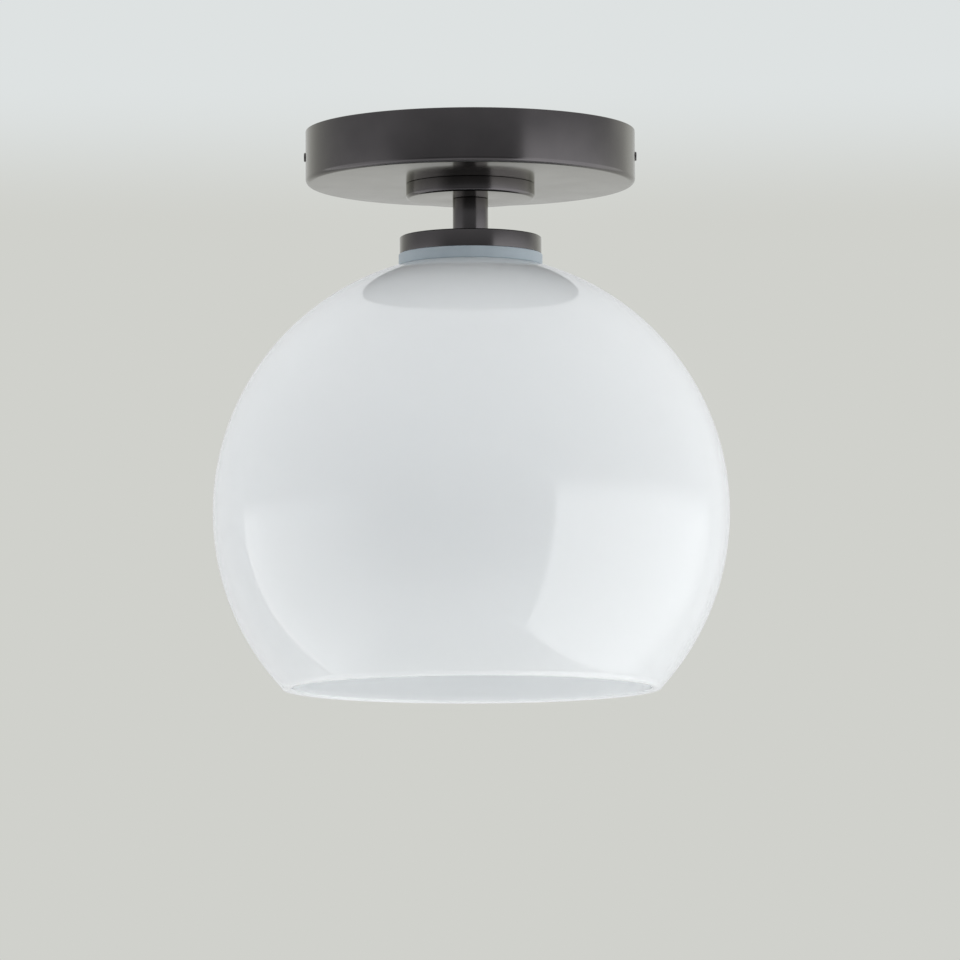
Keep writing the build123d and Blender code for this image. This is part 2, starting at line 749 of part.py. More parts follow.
# Bulb tip, its centre contact
with BuildPart() as bulb_tip_contact:
    with BuildSketch(Plane.XY.offset(bulb_tip - bulb_tip_height)):
        Circle(bulb_tip_diameter / 2)
    extrude(amount=bulb_tip_height)
    fillet(bulb_tip_contact.faces().sort_by(Axis.Z)[-1].edges(), bulb_tip_height / 2)
write(bulb_tip_contact.part, "bulb_tip_contact")

# Bulb insulator, between the tip and the screw cap
with BuildPart() as bulb_insulator:
    with BuildSketch(Plane.XY.offset(bulb_insulator_bottom)):
        Circle(bulb_cap_radius - bulb_cap_wall)
    with BuildSketch(Plane.XY.offset(bulb_tip - bulb_tip_height)):
        Circle(bulb_tip_diameter / 2)
    loft()
write(bulb_insulator.part, "bulb_insulator")

# Bulb screw cap
with BuildPart() as bulb_cap:
    with BuildSketch(Plane.XY.offset(bulb_insulator_bottom)):
        Circle(bulb_cap_radius)
    extrude(amount=-bulb_cap_length)
    fillet(bulb_cap.faces().sort_by(Axis.Z)[-1].edges(), bulb_cap_wall / 2)
    with BuildSketch(Plane.XY.offset(bulb_cap_bottom)):
        Circle(bulb_cap_radius - bulb_cap_wall)
    extrude(amount=bulb_cap_length, mode=Mode.SUBTRACT)
    with BuildLine() as knuckle_line:
        Helix(
            pitch=bulb_thread_pitch,
            height=bulb_cap_length - 2 * bulb_thread_pitch,
            radius=bulb_cap_radius + bulb_groove_radius - bulb_groove_depth,
            center=(0, 0, bulb_cap_bottom + bulb_thread_pitch),
        )
    with BuildSketch(Plane(origin=knuckle_line.line @ 0, z_dir=knuckle_line.line % 0)) as knuckle:
        Circle(bulb_groove_radius)
    sweep(sections=knuckle.sketch, path=knuckle_line.line, is_frenet=True, mode=Mode.SUBTRACT)
write(bulb_cap.part, "bulb_cap")

# Bulb housing, a moulded bell from the cap to the diffuser
seam_radius = sqrt((bulb_diameter / 2) ** 2 - bulb_seam_rise**2)
with BuildPart() as bulb_housing:
    bulb_neck_bottom = bulb_cap_bottom - bulb_neck_height
    neck_radius = bulb_neck_diameter / 2
    inner_seam_radius = seam_radius - bulb_housing_wall
    inner_neck_radius = neck_radius - bulb_housing_wall
    seam_slope = (bulb_seam_rise, -seam_radius)
    with BuildSketch(Plane.XZ):
        with BuildLine():
            Line((inner_neck_radius, bulb_cap_bottom), (neck_radius, bulb_cap_bottom))
            Line((neck_radius, bulb_cap_bottom), (neck_radius, bulb_neck_bottom))
            Spline(
                (neck_radius, bulb_neck_bottom),
                (seam_radius, bulb_seam),
                tangents=[(0, -1), seam_slope],
            )
            Line((seam_radius, bulb_seam), (inner_seam_radius, bulb_seam))
            Spline(
                (inner_seam_radius, bulb_seam),
                (inner_neck_radius, bulb_neck_bottom),
                tangents=[(-seam_slope[0], -seam_slope[1]), (0, 1)],
            )
            Line((inner_neck_radius, bulb_neck_bottom), (inner_neck_radius, bulb_cap_bottom))
        make_face()
    revolve(axis=Axis.Z)
    with BuildSketch(Plane.XY.offset(bulb_cap_bottom)):
        Circle(bulb_cap_radius - bulb_cap_wall - thread_gap)
        Circle(inner_neck_radius - bulb_cap_lip, mode=Mode.SUBTRACT)
    extrude(amount=bulb_plug_depth)
    with BuildSketch(Plane.XY.offset(bulb_cap_bottom + bulb_plug_depth)):
        Circle(bulb_cap_radius - bulb_cap_wall - thread_gap)
        Circle(bulb_plug_hole / 2, mode=Mode.SUBTRACT)
    extrude(amount=-bulb_plug_end)
    with BuildSketch(Plane.XY.offset(bulb_cap_bottom)):
        Circle(neck_radius)
        Circle(inner_neck_radius - bulb_cap_lip, mode=Mode.SUBTRACT)
    extrude(amount=-bulb_cap_lip_height)
write(bulb_housing.part, "bulb_housing")

# Diffuser, the bulb's milky dome
with BuildPart() as bulb_diffuser:
    inner_dome_radius = bulb_diameter / 2 - bulb_diffuser_wall
    inner_dome_seam = sqrt(inner_dome_radius**2 - bulb_seam_rise**2)
    inner_dome_end = bulb_end + bulb_diffuser_wall
    with BuildSketch(Plane.XZ):
        with BuildLine():
            RadiusArc((seam_radius, bulb_seam), (bulb_diameter / 2, bulb_centre), bulb_diameter / 2)
            RadiusArc((bulb_diameter / 2, bulb_centre), (0, bulb_end), bulb_diameter / 2)
            Line((0, bulb_end), (0, inner_dome_end))
            RadiusArc((0, inner_dome_end), (inner_dome_radius, bulb_centre), -inner_dome_radius)
            RadiusArc((inner_dome_radius, bulb_centre), (inner_dome_seam, bulb_seam), -inner_dome_radius)
            Line((inner_dome_seam, bulb_seam), (seam_radius, bulb_seam))
        make_face()
    revolve(axis=Axis.Z)
write(bulb_diffuser.part, "bulb_diffuser")

# Board that carries the bulb's diodes
with BuildPart() as led_board:
    with BuildSketch(Plane.XY.offset(bulb_seam)):
        Circle(inner_seam_radius - led_board_gap)
        Circle(lead_diameter, mode=Mode.SUBTRACT)
    extrude(amount=led_board_thickness)
write(led_board.part, "led_board")

# Diodes, in a circle under the board
with BuildPart() as leds:
    with BuildSketch(Plane.XY.offset(bulb_seam)):
        with PolarLocations(led_circle_diameter / 2, led_count):
            Rectangle(led_size, led_size)
    extrude(amount=-led_height)
write(leds.part, "leds")

# Driver board inside the housing, with its coil and its capacitor
with BuildPart() as bulb_driver:
    driver_bottom = bulb_seam + led_board_thickness
    with BuildSketch(Plane.XY.offset(driver_bottom)):
        Rectangle(driver_width, driver_thickness)
    extrude(amount=driver_length)
    with BuildSketch(Plane.XZ.offset(driver_thickness / 2)):
        with Locations((0, driver_bottom + driver_coil_rise)):
            Circle(driver_coil_diameter / 2)
    extrude(amount=driver_coil_height)
    with BuildSketch(Plane.XZ.offset(-driver_thickness / 2)):
        with Locations((0, driver_bottom + driver_can_rise)):
            Circle(driver_can_diameter / 2)
    extrude(amount=-driver_coil_height)
write(bulb_driver.part, "bulb_driver")

# Leads, from the lampholder's terminals up the nipple to the wire nuts
lead_foot = block_top - lead_block_depth + thread_gap
boss_bottom = holder_top - holder_boss_depth
lead_rise = block_top + lead_diameter
lead_gather = boss_bottom - lead_diameter / 2
lead_top = -lead_top_drop
lead_crest = lead_top - lead_crest_dip
power_lead_end = power_nut_y + wire_nut_bore_depth - lead_end_gap
live_route = [
    (terminal_x, 0, lead_foot),
    (terminal_x, 0, lead_rise),
    (lead_offset, 0, lead_gather),
    (lead_offset, 0, lead_top),
    (live_bend_x, live_bend_y, lead_crest),
    (live_nut_x, live_level_y, wire_nut_z),
    (live_nut_x, power_lead_end, wire_nut_z),
]
neutral_route = [
    (-terminal_x, 0, lead_foot),
    (-terminal_x, 0, lead_rise),
    (-lead_offset, 0, lead_gather),
    (-lead_offset, 0, lead_top),
    (neutral_bend_x, neutral_bend_y, lead_crest),
    (neutral_nut_x, neutral_level_y, wire_nut_z),
    (neutral_nut_x, power_lead_end, wire_nut_z),
]
for lead_name, route in (("live_lead", live_route), ("neutral_lead", neutral_route)):
    with BuildPart() as lead:
        radii = bend_radii(route)
        with BuildLine() as lead_line:
            FilletPolyline(*route, radius=radii)
        with BuildSketch(Plane(origin=route[0], z_dir=(0, 0, 1))) as lead_section:
            Circle(lead_diameter / 2)
        sweep(sections=lead_section.sketch, path=lead_line.line)
    report_lead(lead_name, radii, lead_line, lead, lead_diameter)
    write(lead.part, lead_name)

# Ground lead, hooked round the ground screw
ground_loop_radius = ground_screw_diameter / 2 + ground_lead_diameter / 2 + passing_gap
ground_lead_x = ground_screw_x + ground_loop_radius
ground_lead_z = -bracket_thickness - ground_lead_diameter / 2 - thread_gap
ground_route = [
    (ground_lead_x, 0, ground_lead_z),
    (ground_lead_x, bracket_width / 2 + ground_bend_gap, ground_lead_z),
    (ground_lead_x, bracket_width / 2 + ground_level_gap, wire_nut_z),
    (ground_lead_x, ground_nut_y + wire_nut_bore_depth - lead_end_gap, wire_nut_z),
]
with BuildPart() as ground_lead:
    radii = bend_radii(ground_route)
    with BuildLine() as ground_line:
        hook_centre = (ground_screw_x, 0, ground_lead_z)
        CenterArc(hook_centre, ground_loop_radius, 90, 270)
        FilletPolyline(*ground_route, radius=radii)
    hook_start = ground_line.line @ 0
    with BuildSketch(Plane(origin=hook_start, z_dir=ground_line.line % 0)) as ground_section:
        Circle(ground_lead_diameter / 2)
    sweep(sections=ground_section.sketch, path=ground_line.line)
report_lead("ground_lead", radii, ground_line, ground_lead, ground_lead_diameter)
write(ground_lead.part, "ground_lead")

# Wire nuts, twisted onto the ends of the three leads
with BuildPart() as wire_nut:
    with BuildSketch(Plane.XZ):
        Circle(wire_nut_diameter / 2)
    with BuildSketch(Plane.XZ.offset(-wire_nut_length)):
        Circle(wire_nut_tip_diameter / 2)
    loft()
    fillet(wire_nut.faces().sort_by(Axis.Y)[-1].edges(), wire_nut_rib_diameter)
    with BuildSketch(Plane.XZ):
        with PolarLocations(wire_nut_diameter / 2 - wire_nut_rib_inset, wire_nut_ribs):
            Circle(wire_nut_rib_diameter / 2)
    extrude(amount=-wire_nut_grip)
    with BuildSketch(Plane.XZ):
        Circle(wire_nut_bore / 2)
    extrude(amount=-wire_nut_bore_depth, mode=Mode.SUBTRACT)
with BuildPart() as wire_nuts:
    with Locations(
        (live_nut_x, power_nut_y, wire_nut_z),
        (neutral_nut_x, power_nut_y, wire_nut_z),
        (ground_lead_x, ground_nut_y, wire_nut_z),
    ):
        add(wire_nut.part)
write(wire_nuts.part, "wire_nuts")

print("canopy", canopy_diameter, "globe", globe_diameter, "height", round(-globe_mouth, 1))
print("bulb turn range", round(360 * contact_press / bulb_thread_pitch, 1), "degrees")
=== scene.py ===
import logging
from dataclasses import dataclass
from enum import Enum, IntEnum
from math import asin, cos, pi, radians, sin, sqrt, tan
from typing import Callable, Optional, Sequence

import bmesh
import bpy
from mathutils import Matrix, Vector


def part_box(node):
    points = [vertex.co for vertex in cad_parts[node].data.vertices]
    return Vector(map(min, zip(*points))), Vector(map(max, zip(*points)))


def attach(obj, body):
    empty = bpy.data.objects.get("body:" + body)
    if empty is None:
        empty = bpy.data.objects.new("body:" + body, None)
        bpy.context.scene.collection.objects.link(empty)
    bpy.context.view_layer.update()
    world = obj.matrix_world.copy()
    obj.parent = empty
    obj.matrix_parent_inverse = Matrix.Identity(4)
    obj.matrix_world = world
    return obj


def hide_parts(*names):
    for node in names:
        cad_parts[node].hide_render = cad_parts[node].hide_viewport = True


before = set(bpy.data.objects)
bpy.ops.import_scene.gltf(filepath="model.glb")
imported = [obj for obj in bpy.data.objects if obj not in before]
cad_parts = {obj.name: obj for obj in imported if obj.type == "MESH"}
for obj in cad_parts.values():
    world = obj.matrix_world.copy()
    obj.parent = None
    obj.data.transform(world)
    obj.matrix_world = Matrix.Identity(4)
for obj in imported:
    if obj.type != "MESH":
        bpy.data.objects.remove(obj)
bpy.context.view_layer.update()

MM = 0.001
WELD = 0.002 * MM
HAIR = 1e-7
FLAT_TURN = radians(1)
SHARP_TURN = radians(28)
SMOOTH_TURN = radians(30)
BEVEL_TURN = radians(35)
BLOCK_TURN = radians(40)
log = logging.getLogger("flush_mount_light")

Point = tuple[float, float]
Place = tuple[float, float, float]
Colour = tuple[float, float, float]
Relief = Callable[[float, float, float], float]
Socket = bpy.types.NodeSocket


# Finishes


class Pattern(Enum):
    """What breaks up the colour and the gloss of a finish."""

    MOTTLE = "soft clouds"
    SPANGLE = "crystal patches, as on zinc"
    FLECKED = "small specks, as in moulding powder"


class Nodes:
    """A node tree that is built one call a node."""

    def __init__(self, tree: bpy.types.NodeTree) -> None:
        """Take a tree and empty it."""
        self.tree = tree
        tree.nodes.clear()

    def add(self, kind: str, inputs: Optional[dict] = None, **settings: object) -> bpy.types.Node:
        """Add a node.

        Args:
            kind: its type.
            inputs: for each input, by name or number, the socket that feeds it or its value.
            settings: the node's own properties.

        Returns:
            The node.
        """
        node = self.tree.nodes.new(kind)
        for name, value in settings.items():
            setattr(node, name, value)
        for name, value in (inputs or {}).items():
            if isinstance(value, Socket):
                self.tree.links.new(value, node.inputs[name])
            else:
                node.inputs[name].default_value = value
        return node

    def mix(self, factor: Socket, low: Colour, high: Colour) -> Socket:
        """Blend two linear colours by a pattern, 0 for low and 1 for high."""
        feeds = {"Factor": factor, "A": (*low, 1), "B": (*high, 1)}
        return self.add("ShaderNodeMix", feeds, data_type="RGBA").outputs["Result"]


class Shader(Nodes):
    """One material's nodes round a Principled shader, in metres of Object coordinates."""

    fleck_detail = 0.5
    relief_detail = 2.0
    cloud_detail = 4.0
    pattern_low = 0.3
    pattern_high = 0.7

    def __init__(self, name: str) -> None:
        """Start a material, by its name, with nothing but its shader."""
        self.material = bpy.data.materials.new(name)
        self.material.use_nodes = True
        super().__init__(self.material.node_tree)
        self.surface = self.add("ShaderNodeBsdfPrincipled")
        self.add("ShaderNodeOutputMaterial", {"Surface": self.surface.outputs["BSDF"]})
        self.place = self.add("ShaderNodeTexCoord").outputs["Object"]

    def put(self, **values: object) -> None:
        """Set sockets of the shader by name, with an underscore for each space."""
        for name, value in values.items():
            self.surface.inputs[name.replace("_", " ")].default_value = value

    def feed(self, output: Socket, name: str) -> None:
        """Drive one socket of the shader with a pattern."""
        self.tree.links.new(output, self.surface.inputs[name])

    def noise(self, grain: float, detail: float) -> Socket:
        """Make soft noise of a grain in metres, with finer noise on it by its detail."""
        feeds = {"Vector": self.place, "Scale": 1 / grain, "Detail": detail}
        return self.add("ShaderNodeTexNoise", feeds).outputs["Fac"]

    def cells(self, grain: float) -> Socket:
        """Make flat random patches of a size in metres, each with its own value."""
        node = self.add("ShaderNodeTexVoronoi", {"Vector": self.place, "Scale": 1 / grain})
        return self.add("ShaderNodeSeparateColor", {"Color": node.outputs["Color"]}).outputs["Red"]

    def reach(self) -> Socket:
        """Give the distance from the light's axis."""
        flat = self.add("ShaderNodeVectorMath", {0: self.place, 1: (1, 1, 0)}, operation="MULTIPLY")
        length = self.add("ShaderNodeVectorMath", {0: flat.outputs["Vector"]}, operation="LENGTH")
        return length.outputs["Value"]

    def span(self, value: Socket, low: float, high: float) -> Socket:
        """Spread the middle of a pattern over a range of numbers.

        Args:
            value: the pattern, mostly between its low and high values.
            low: result for the pattern's low value.
            high: result for its high value.

        Returns:
            The spread value.
        """
        feeds = {"Value": value, "From Min": self.pattern_low, "From Max": self.pattern_high,
                 "To Min": low, "To Max": high}
        return self.add("ShaderNodeMapRange", feeds).outputs["Result"]

    def emboss(self, height: Socket, depth: float) -> None:
        """Raise a pattern from the surface by a depth in metres."""
        bump = self.add("ShaderNodeBump", {"Height": height, "Strength": 1.0, "Distance": depth})
        self.feed(bump.outputs["Normal"], "Normal")


@dataclass(frozen=True)
class Finish:
    """A surface finish: two close colours and two close roughnesses, broken up by one pattern."""

    slot: str
    low: Colour
    high: Colour
    roughness: tuple[float, float]
    pattern: Pattern = Pattern.MOTTLE
    grain: float = 6 * MM
    relief: float = 0.0
    relief_grain: float = 0.5 * MM
    metallic: float = 0.0
    edge_tint: Colour = (1.0, 1.0, 1.0)
    coat: float = 0.0
    coat_roughness: float = 0.05
    subsurface: float = 0.0
    subsurface_depth: float = 3 * MM

    def material(self) -> bpy.types.Material:
        """Build the finish's material, once."""
        made = bpy.data.materials.get(self.slot + "_finish")
        if made:
            return made
        shader = Shader(self.slot + "_finish")
        broken = self.broken_up(shader)
        shader.feed(shader.mix(shader.span(broken, 0, 1), self.low, self.high), "Base Color")
        shader.feed(shader.span(broken, *self.roughness), "Roughness")
        shader.put(Metallic=self.metallic, Coat_Weight=self.coat, Coat_Roughness=self.coat_roughness)
        shader.put(Specular_Tint=(*self.edge_tint, 1))
        if self.subsurface:
            shader.put(Subsurface_Weight=self.subsurface, Subsurface_Scale=self.subsurface_depth)
            shader.put(Subsurface_Radius=(1.0, 1.0, 1.0))
        if self.relief:
            shader.emboss(shader.noise(self.relief_grain, shader.relief_detail), self.relief)
        return shader.material

    def broken_up(self, shader: Shader) -> Socket:
        """Give the pattern that breaks up the colour and gloss."""
        if self.pattern is Pattern.SPANGLE:
            return shader.cells(self.grain)
        flecked = self.pattern is Pattern.FLECKED
        return shader.noise(self.grain, shader.fleck_detail if flecked else shader.cloud_detail)


BRONZE = Finish(
    slot="dark_bronze", low=(0.054, 0.050, 0.052), high=(0.063, 0.058, 0.060), roughness=(0.18, 0.22),
    grain=14 * MM, metallic=1.0, edge_tint=(0.99, 0.98, 0.90), coat=0.3, coat_roughness=0.08,
    relief=0.002 * MM,
)
STEEL = Finish(
    slot="zinc_steel", low=(0.42, 0.43, 0.43), high=(0.60, 0.61, 0.61), roughness=(0.28, 0.42),
    pattern=Pattern.SPANGLE, grain=3.5 * MM, metallic=1.0, relief=0.01 * MM,
)
GREEN = Finish(
    slot="green_screw", low=(0.03, 0.16, 0.06), high=(0.05, 0.22, 0.09), roughness=(0.3, 0.38),
    grain=2 * MM, metallic=0.8, relief=0.004 * MM,
)
GLASS = Finish(
    slot="milk_glass", low=(0.875, 0.922, 0.955), high=(0.892, 0.934, 0.963), roughness=(0.015, 0.03),
    grain=70 * MM, subsurface=1.0, subsurface_depth=20 * MM,
)
SILICONE = Finish(
    slot="seat_silicone", low=(0.41, 0.475, 0.52), high=(0.45, 0.515, 0.56), roughness=(0.42, 0.52),
    grain=9 * MM, relief=0.006 * MM, subsurface=0.35, subsurface_depth=2 * MM,
)
FIBRE = Finish(
    slot="washer_fibre", low=(0.30, 0.07, 0.045), high=(0.40, 0.10, 0.06), roughness=(0.62, 0.75),
    pattern=Pattern.FLECKED, grain=1.2 * MM, relief=0.02 * MM,
)
PHENOLIC = Finish(
    slot="holder_black", low=(0.012, 0.012, 0.013), high=(0.022, 0.021, 0.021), roughness=(0.30, 0.40),
    pattern=Pattern.FLECKED, grain=0.8 * MM, relief=0.006 * MM,
)
CERAMIC = Finish(
    slot="ceramic_white", low=(0.70, 0.68, 0.62), high=(0.76, 0.745, 0.69), roughness=(0.25, 0.35),
    grain=5 * MM, relief=0.008 * MM, subsurface=0.1, subsurface_depth=1 * MM,
)
BRASS = Finish(
    slot="brass", low=(0.58, 0.38, 0.13), high=(0.72, 0.50, 0.20), roughness=(0.22, 0.34),
    grain=4 * MM, metallic=1.0, relief=0.003 * MM,
)
NICKEL = Finish(
    slot="nickel", low=(0.50, 0.48, 0.44), high=(0.62, 0.60, 0.55), roughness=(0.16, 0.26),
    grain=5 * MM, metallic=1.0, relief=0.003 * MM,
)
TIN = Finish(
    slot="tin", low=(0.50, 0.50, 0.49), high=(0.66, 0.66, 0.65), roughness=(0.3, 0.45),
    grain=1.5 * MM, metallic=1.0, relief=0.02 * MM,
)
BLACK_GLASS = Finish(
    slot="black_glass", low=(0.008, 0.008, 0.012), high=(0.016, 0.014, 0.022), roughness=(0.06, 0.12),
    grain=3 * MM, coat=0.6,
)
BULB_WHITE = Finish(
    slot="bulb_white", low=(0.76, 0.765, 0.76), high=(0.80, 0.80, 0.795), roughness=(0.36, 0.44),
    grain=12 * MM, relief=0.006 * MM, subsurface=0.15, subsurface_depth=2 * MM,
)
FROST = Finish(
    slot="bulb_frost", low=(0.80, 0.80, 0.78), high=(0.84, 0.84, 0.82), roughness=(0.40, 0.48),
    grain=10 * MM, relief=0.004 * MM, subsurface=0.7, subsurface_depth=4 * MM,
)
BOARD_WHITE = Finish(
    slot="board_white", low=(0.74, 0.75, 0.74), high=(0.80, 0.80, 0.79), roughness=(0.3, 0.4),
    grain=3 * MM, relief=0.005 * MM,
)
PHOSPHOR = Finish(
    slot="phosphor", low=(0.80, 0.58, 0.10), high=(0.88, 0.68, 0.18), roughness=(0.4, 0.5),
    pattern=Pattern.FLECKED, grain=0.4 * MM,
)
BOARD_GREEN = Finish(
    slot="board_green", low=(0.02, 0.13, 0.05), high=(0.03, 0.18, 0.07), roughness=(0.3, 0.4),
    grain=2 * MM, relief=0.01 * MM,
)
NYLON = Finish(
    slot="bushing_white", low=(0.66, 0.65, 0.60), high=(0.72, 0.71, 0.66), roughness=(0.36, 0.45),
    grain=3 * MM, subsurface=0.3, subsurface_depth=1 * MM,
)
WIRE_BLACK = Finish(
    slot="wire_black", low=(0.014, 0.014, 0.015), high=(0.024, 0.024, 0.025), roughness=(0.32, 0.42),
    grain=6 * MM, relief=0.008 * MM,
)
WIRE_WHITE = Finish(
    slot="wire_white", low=(0.66, 0.66, 0.63), high=(0.74, 0.74, 0.71), roughness=(0.34, 0.44),
    grain=6 * MM, relief=0.008 * MM,
)
COPPER = Finish(
    slot="copper", low=(0.62, 0.27, 0.14), high=(0.78, 0.38, 0.22), roughness=(0.22, 0.36),
    grain=3 * MM, metallic=1.0, relief=0.004 * MM,
)
NUT_ORANGE = Finish(
    slot="nut_orange", low=(0.74, 0.20, 0.02), high=(0.82, 0.26, 0.035), roughness=(0.36, 0.46),
    grain=5 * MM, relief=0.01 * MM, subsurface=0.1, subsurface_depth=1 * MM,
)


# Sections and meshes


class Sides(IntEnum):
    """How many faces go round a turned piece."""

    WIDE = 256
    RING = 192
    BULB = 160
    STEM = 144
    CAP = 128
    WASHER = 96
    NIPPLE = 72
    SMALL = 24


@dataclass(frozen=True)
class Extent:
    """Where a turned CAD node stands: its outer radius and its two levels, in metres."""

    radius: float
    bottom: float
    top: float

    @classmethod
    def of(cls, node: str) -> "Extent":
        """Measure a CAD node, by its name."""
        low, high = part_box(node)
        return cls(max(high[0] - low[0], high[1] - low[1]) / 2, low[2], high[2])


def rounded(corners: Sequence[tuple[float, ...]], edge: float = 0.0, steps: int = 6) -> list[Point]:
    """Round the corners of a closed section.

    Args:
        corners: (radius, height) or (radius, height, fillet) of each corner, in order.
        edge: the fillet of the corners that give none.
        steps: faces on each fillet.

    Returns:
        The section's points, closed from the last to the first.
    """
    points: list[Point] = []
    count = len(corners)
    for index, corner in enumerate(corners):
        here = Vector(corner[:2])
        fillet = corner[2] if len(corner) > 2 else edge
        if fillet <= 0:
            points.append((here.x, here.y))
            continue
        back = (Vector(corners[index - 1][:2]) - here).normalized()
        ahead = (Vector(corners[(index + 1) % count][:2]) - here).normalized()
        half = back.angle(ahead) / 2
        centre = here + (back + ahead).normalized() * (fillet / sin(half))
        start = here + back * (fillet / tan(half)) - centre
        sweep = start.angle_signed(here + ahead * (fillet / tan(half)) - centre)
        for step in range(steps + 1):
            spoke = start.copy()
            spoke.rotate(Matrix.Rotation(-sweep * step / steps, 2))
            points.append((centre.x + spoke.x, centre.y + spoke.y))
    return points


def arc(centre: Point, radius: float, start: float, end: float, steps: int) -> list[Point]:
    """Give the points of an arc in a section.

    Args:
        centre: its centre, as (radius, height).
        radius: the arc's own radius.
        start: first angle, in radians from straight out.
        end: last angle.
        steps: faces on the arc.

    Returns:
        The arc's points, both ends included.
    """
    angles = [start + (end - start) * step / steps for step in range(steps + 1)]
    return [(centre[0] + radius * cos(angle), centre[1] + radius * sin(angle)) for angle in angles]


def turns_sharply(before: Point, here: Point, after: Point) -> bool:
    """Say whether a section turns by a hard corner at a point."""
    run_in = Vector(here) - Vector(before)
    run_out = Vector(after) - Vector(here)
    if min(run_in.length, run_out.length) < HAIR:
        return False
    return run_in.angle(run_out) > SHARP_TURN


def lathe(
    name: str, section: Sequence[Point], segments: int, relief: Optional[Relief] = None,
) -> bpy.types.Object:
    """Turn a closed section round the light's axis.

    Args:
        name: the new object's name.
        section: (radius, height) points of the closed section.
        segments: faces round the axis.
        relief: radius to add at (angle, radius, height), as for a thread.

    Returns:
        The turned object, with its faces outward and its hard corners marked.
    """
    built = bmesh.new()
    rings = []
    for radius, height in section:
        if radius < HAIR:
            rings.append([built.verts.new((0, 0, height))] * segments)
            continue
        ring = []
        for index in range(segments):
            angle = 2 * pi * index / segments
            reach = radius + (relief(angle, radius, height) if relief else 0.0)
            ring.append(built.verts.new((reach * cos(angle), reach * sin(angle), height)))
        rings.append(ring)
    count = len(section)
    for index in range(count):
        lower, upper = rings[index], rings[(index + 1) % count]
        for step in range(segments):
            following = (step + 1) % segments
            corners = [lower[step], lower[following], upper[following], upper[step]]
            unique = list(dict.fromkeys(corners))
            if len(unique) > 2:
                built.faces.new(unique)
    for index in range(count):
        if turns_sharply(section[index - 1], section[index], section[(index + 1) % count]):
            ring = rings[index]
            for step in range(segments if ring[0] != ring[1] else 0):
                edge = built.edges.get((ring[step], ring[(step + 1) % segments]))
                if edge:
                    edge.smooth = False
    return finished(name, built)


def finished(name: str, built: bmesh.types.BMesh) -> bpy.types.Object:
    """Close a mesh, turn its faces outward, shade it smooth and put it in the scene.

    Args:
        name: the new object's name.
        built: the mesh so far, which is freed.

    Returns:
        The object.
    """
    bmesh.ops.recalc_face_normals(built, faces=built.faces)
    for face in built.faces:
        face.smooth = True
    mesh = bpy.data.meshes.new(name)
    built.to_mesh(mesh)
    built.free()
    made = bpy.data.objects.new(name, mesh)
    bpy.context.scene.collection.objects.link(made)
    return made


def baked(made: bpy.types.Object) -> bpy.types.Object:
    """Turn an object's modifiers into a plain mesh and remove them."""
    made_graph = bpy.context.evaluated_depsgraph_get()
    mesh = bpy.data.meshes.new_from_object(made.evaluated_get(made_graph), depsgraph=made_graph)
    made.modifiers.clear()
    old = made.data
    made.data = mesh
    bpy.data.meshes.remove(old)
    mesh.name = made.name
    return made


def softened(node: str, name: str, width: float) -> bpy.types.Object:
    """Copy a CAD node and round its hard edges.

    Args:
        node: the CAD node's name.
        name: the new object's name.
        width: the width of the rounded edge, in metres.

    Returns:
        The new object.
    """
    built = bmesh.new()
    built.from_mesh(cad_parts[node].data)
    bmesh.ops.remove_doubles(built, verts=built.verts, dist=WELD)
    bmesh.ops.dissolve_limit(built, angle_limit=FLAT_TURN, verts=built.verts, edges=built.edges)
    made = finished(name, built)
    bevel = made.modifiers.new("edges", "BEVEL")
    bevel.width = width
    bevel.segments = 2
    bevel.limit_method = "ANGLE"
    bevel.angle_limit = BEVEL_TURN
    baked(made)
    for face in made.data.polygons:
        face.use_smooth = True
    made.data.set_sharp_from_angle(angle=SMOOTH_TURN)
    return made


def joined(name: str, parts: Sequence[bpy.types.Object]) -> bpy.types.Object:
    """Join several objects into the first one, with all their materials.

    Args:
        name: the name of the result.
        parts: the objects, all at the origin; all but the first are removed.

    Returns:
        The joined object.
    """
    with bpy.context.temp_override(active_object=parts[0], selected_editable_objects=list(parts)):
        bpy.ops.object.join()
    parts[0].name = parts[0].data.name = name
    return parts[0]


def block(name: str, low: Place, high: Place, edge: float) -> bpy.types.Object:
    """Make a small block with rounded edges.

    Args:
        name: the new object's name.
        low: its lowest corner.
        high: its highest corner.
        edge: the radius of its edges.

    Returns:
        The block.
    """
    built = bmesh.new()
    bmesh.ops.create_cube(built, size=1.0)
    size = Vector(high) - Vector(low)
    middle = (Vector(high) + Vector(low)) / 2
    bmesh.ops.scale(built, vec=size, verts=built.verts)
    bmesh.ops.translate(built, vec=middle, verts=built.verts)
    bmesh.ops.bevel(built, geom=list(built.edges), offset=edge, segments=3, profile=0.5, affect="EDGES")
    made = finished(name, built)
    made.data.set_sharp_from_angle(angle=BLOCK_TURN)
    return made


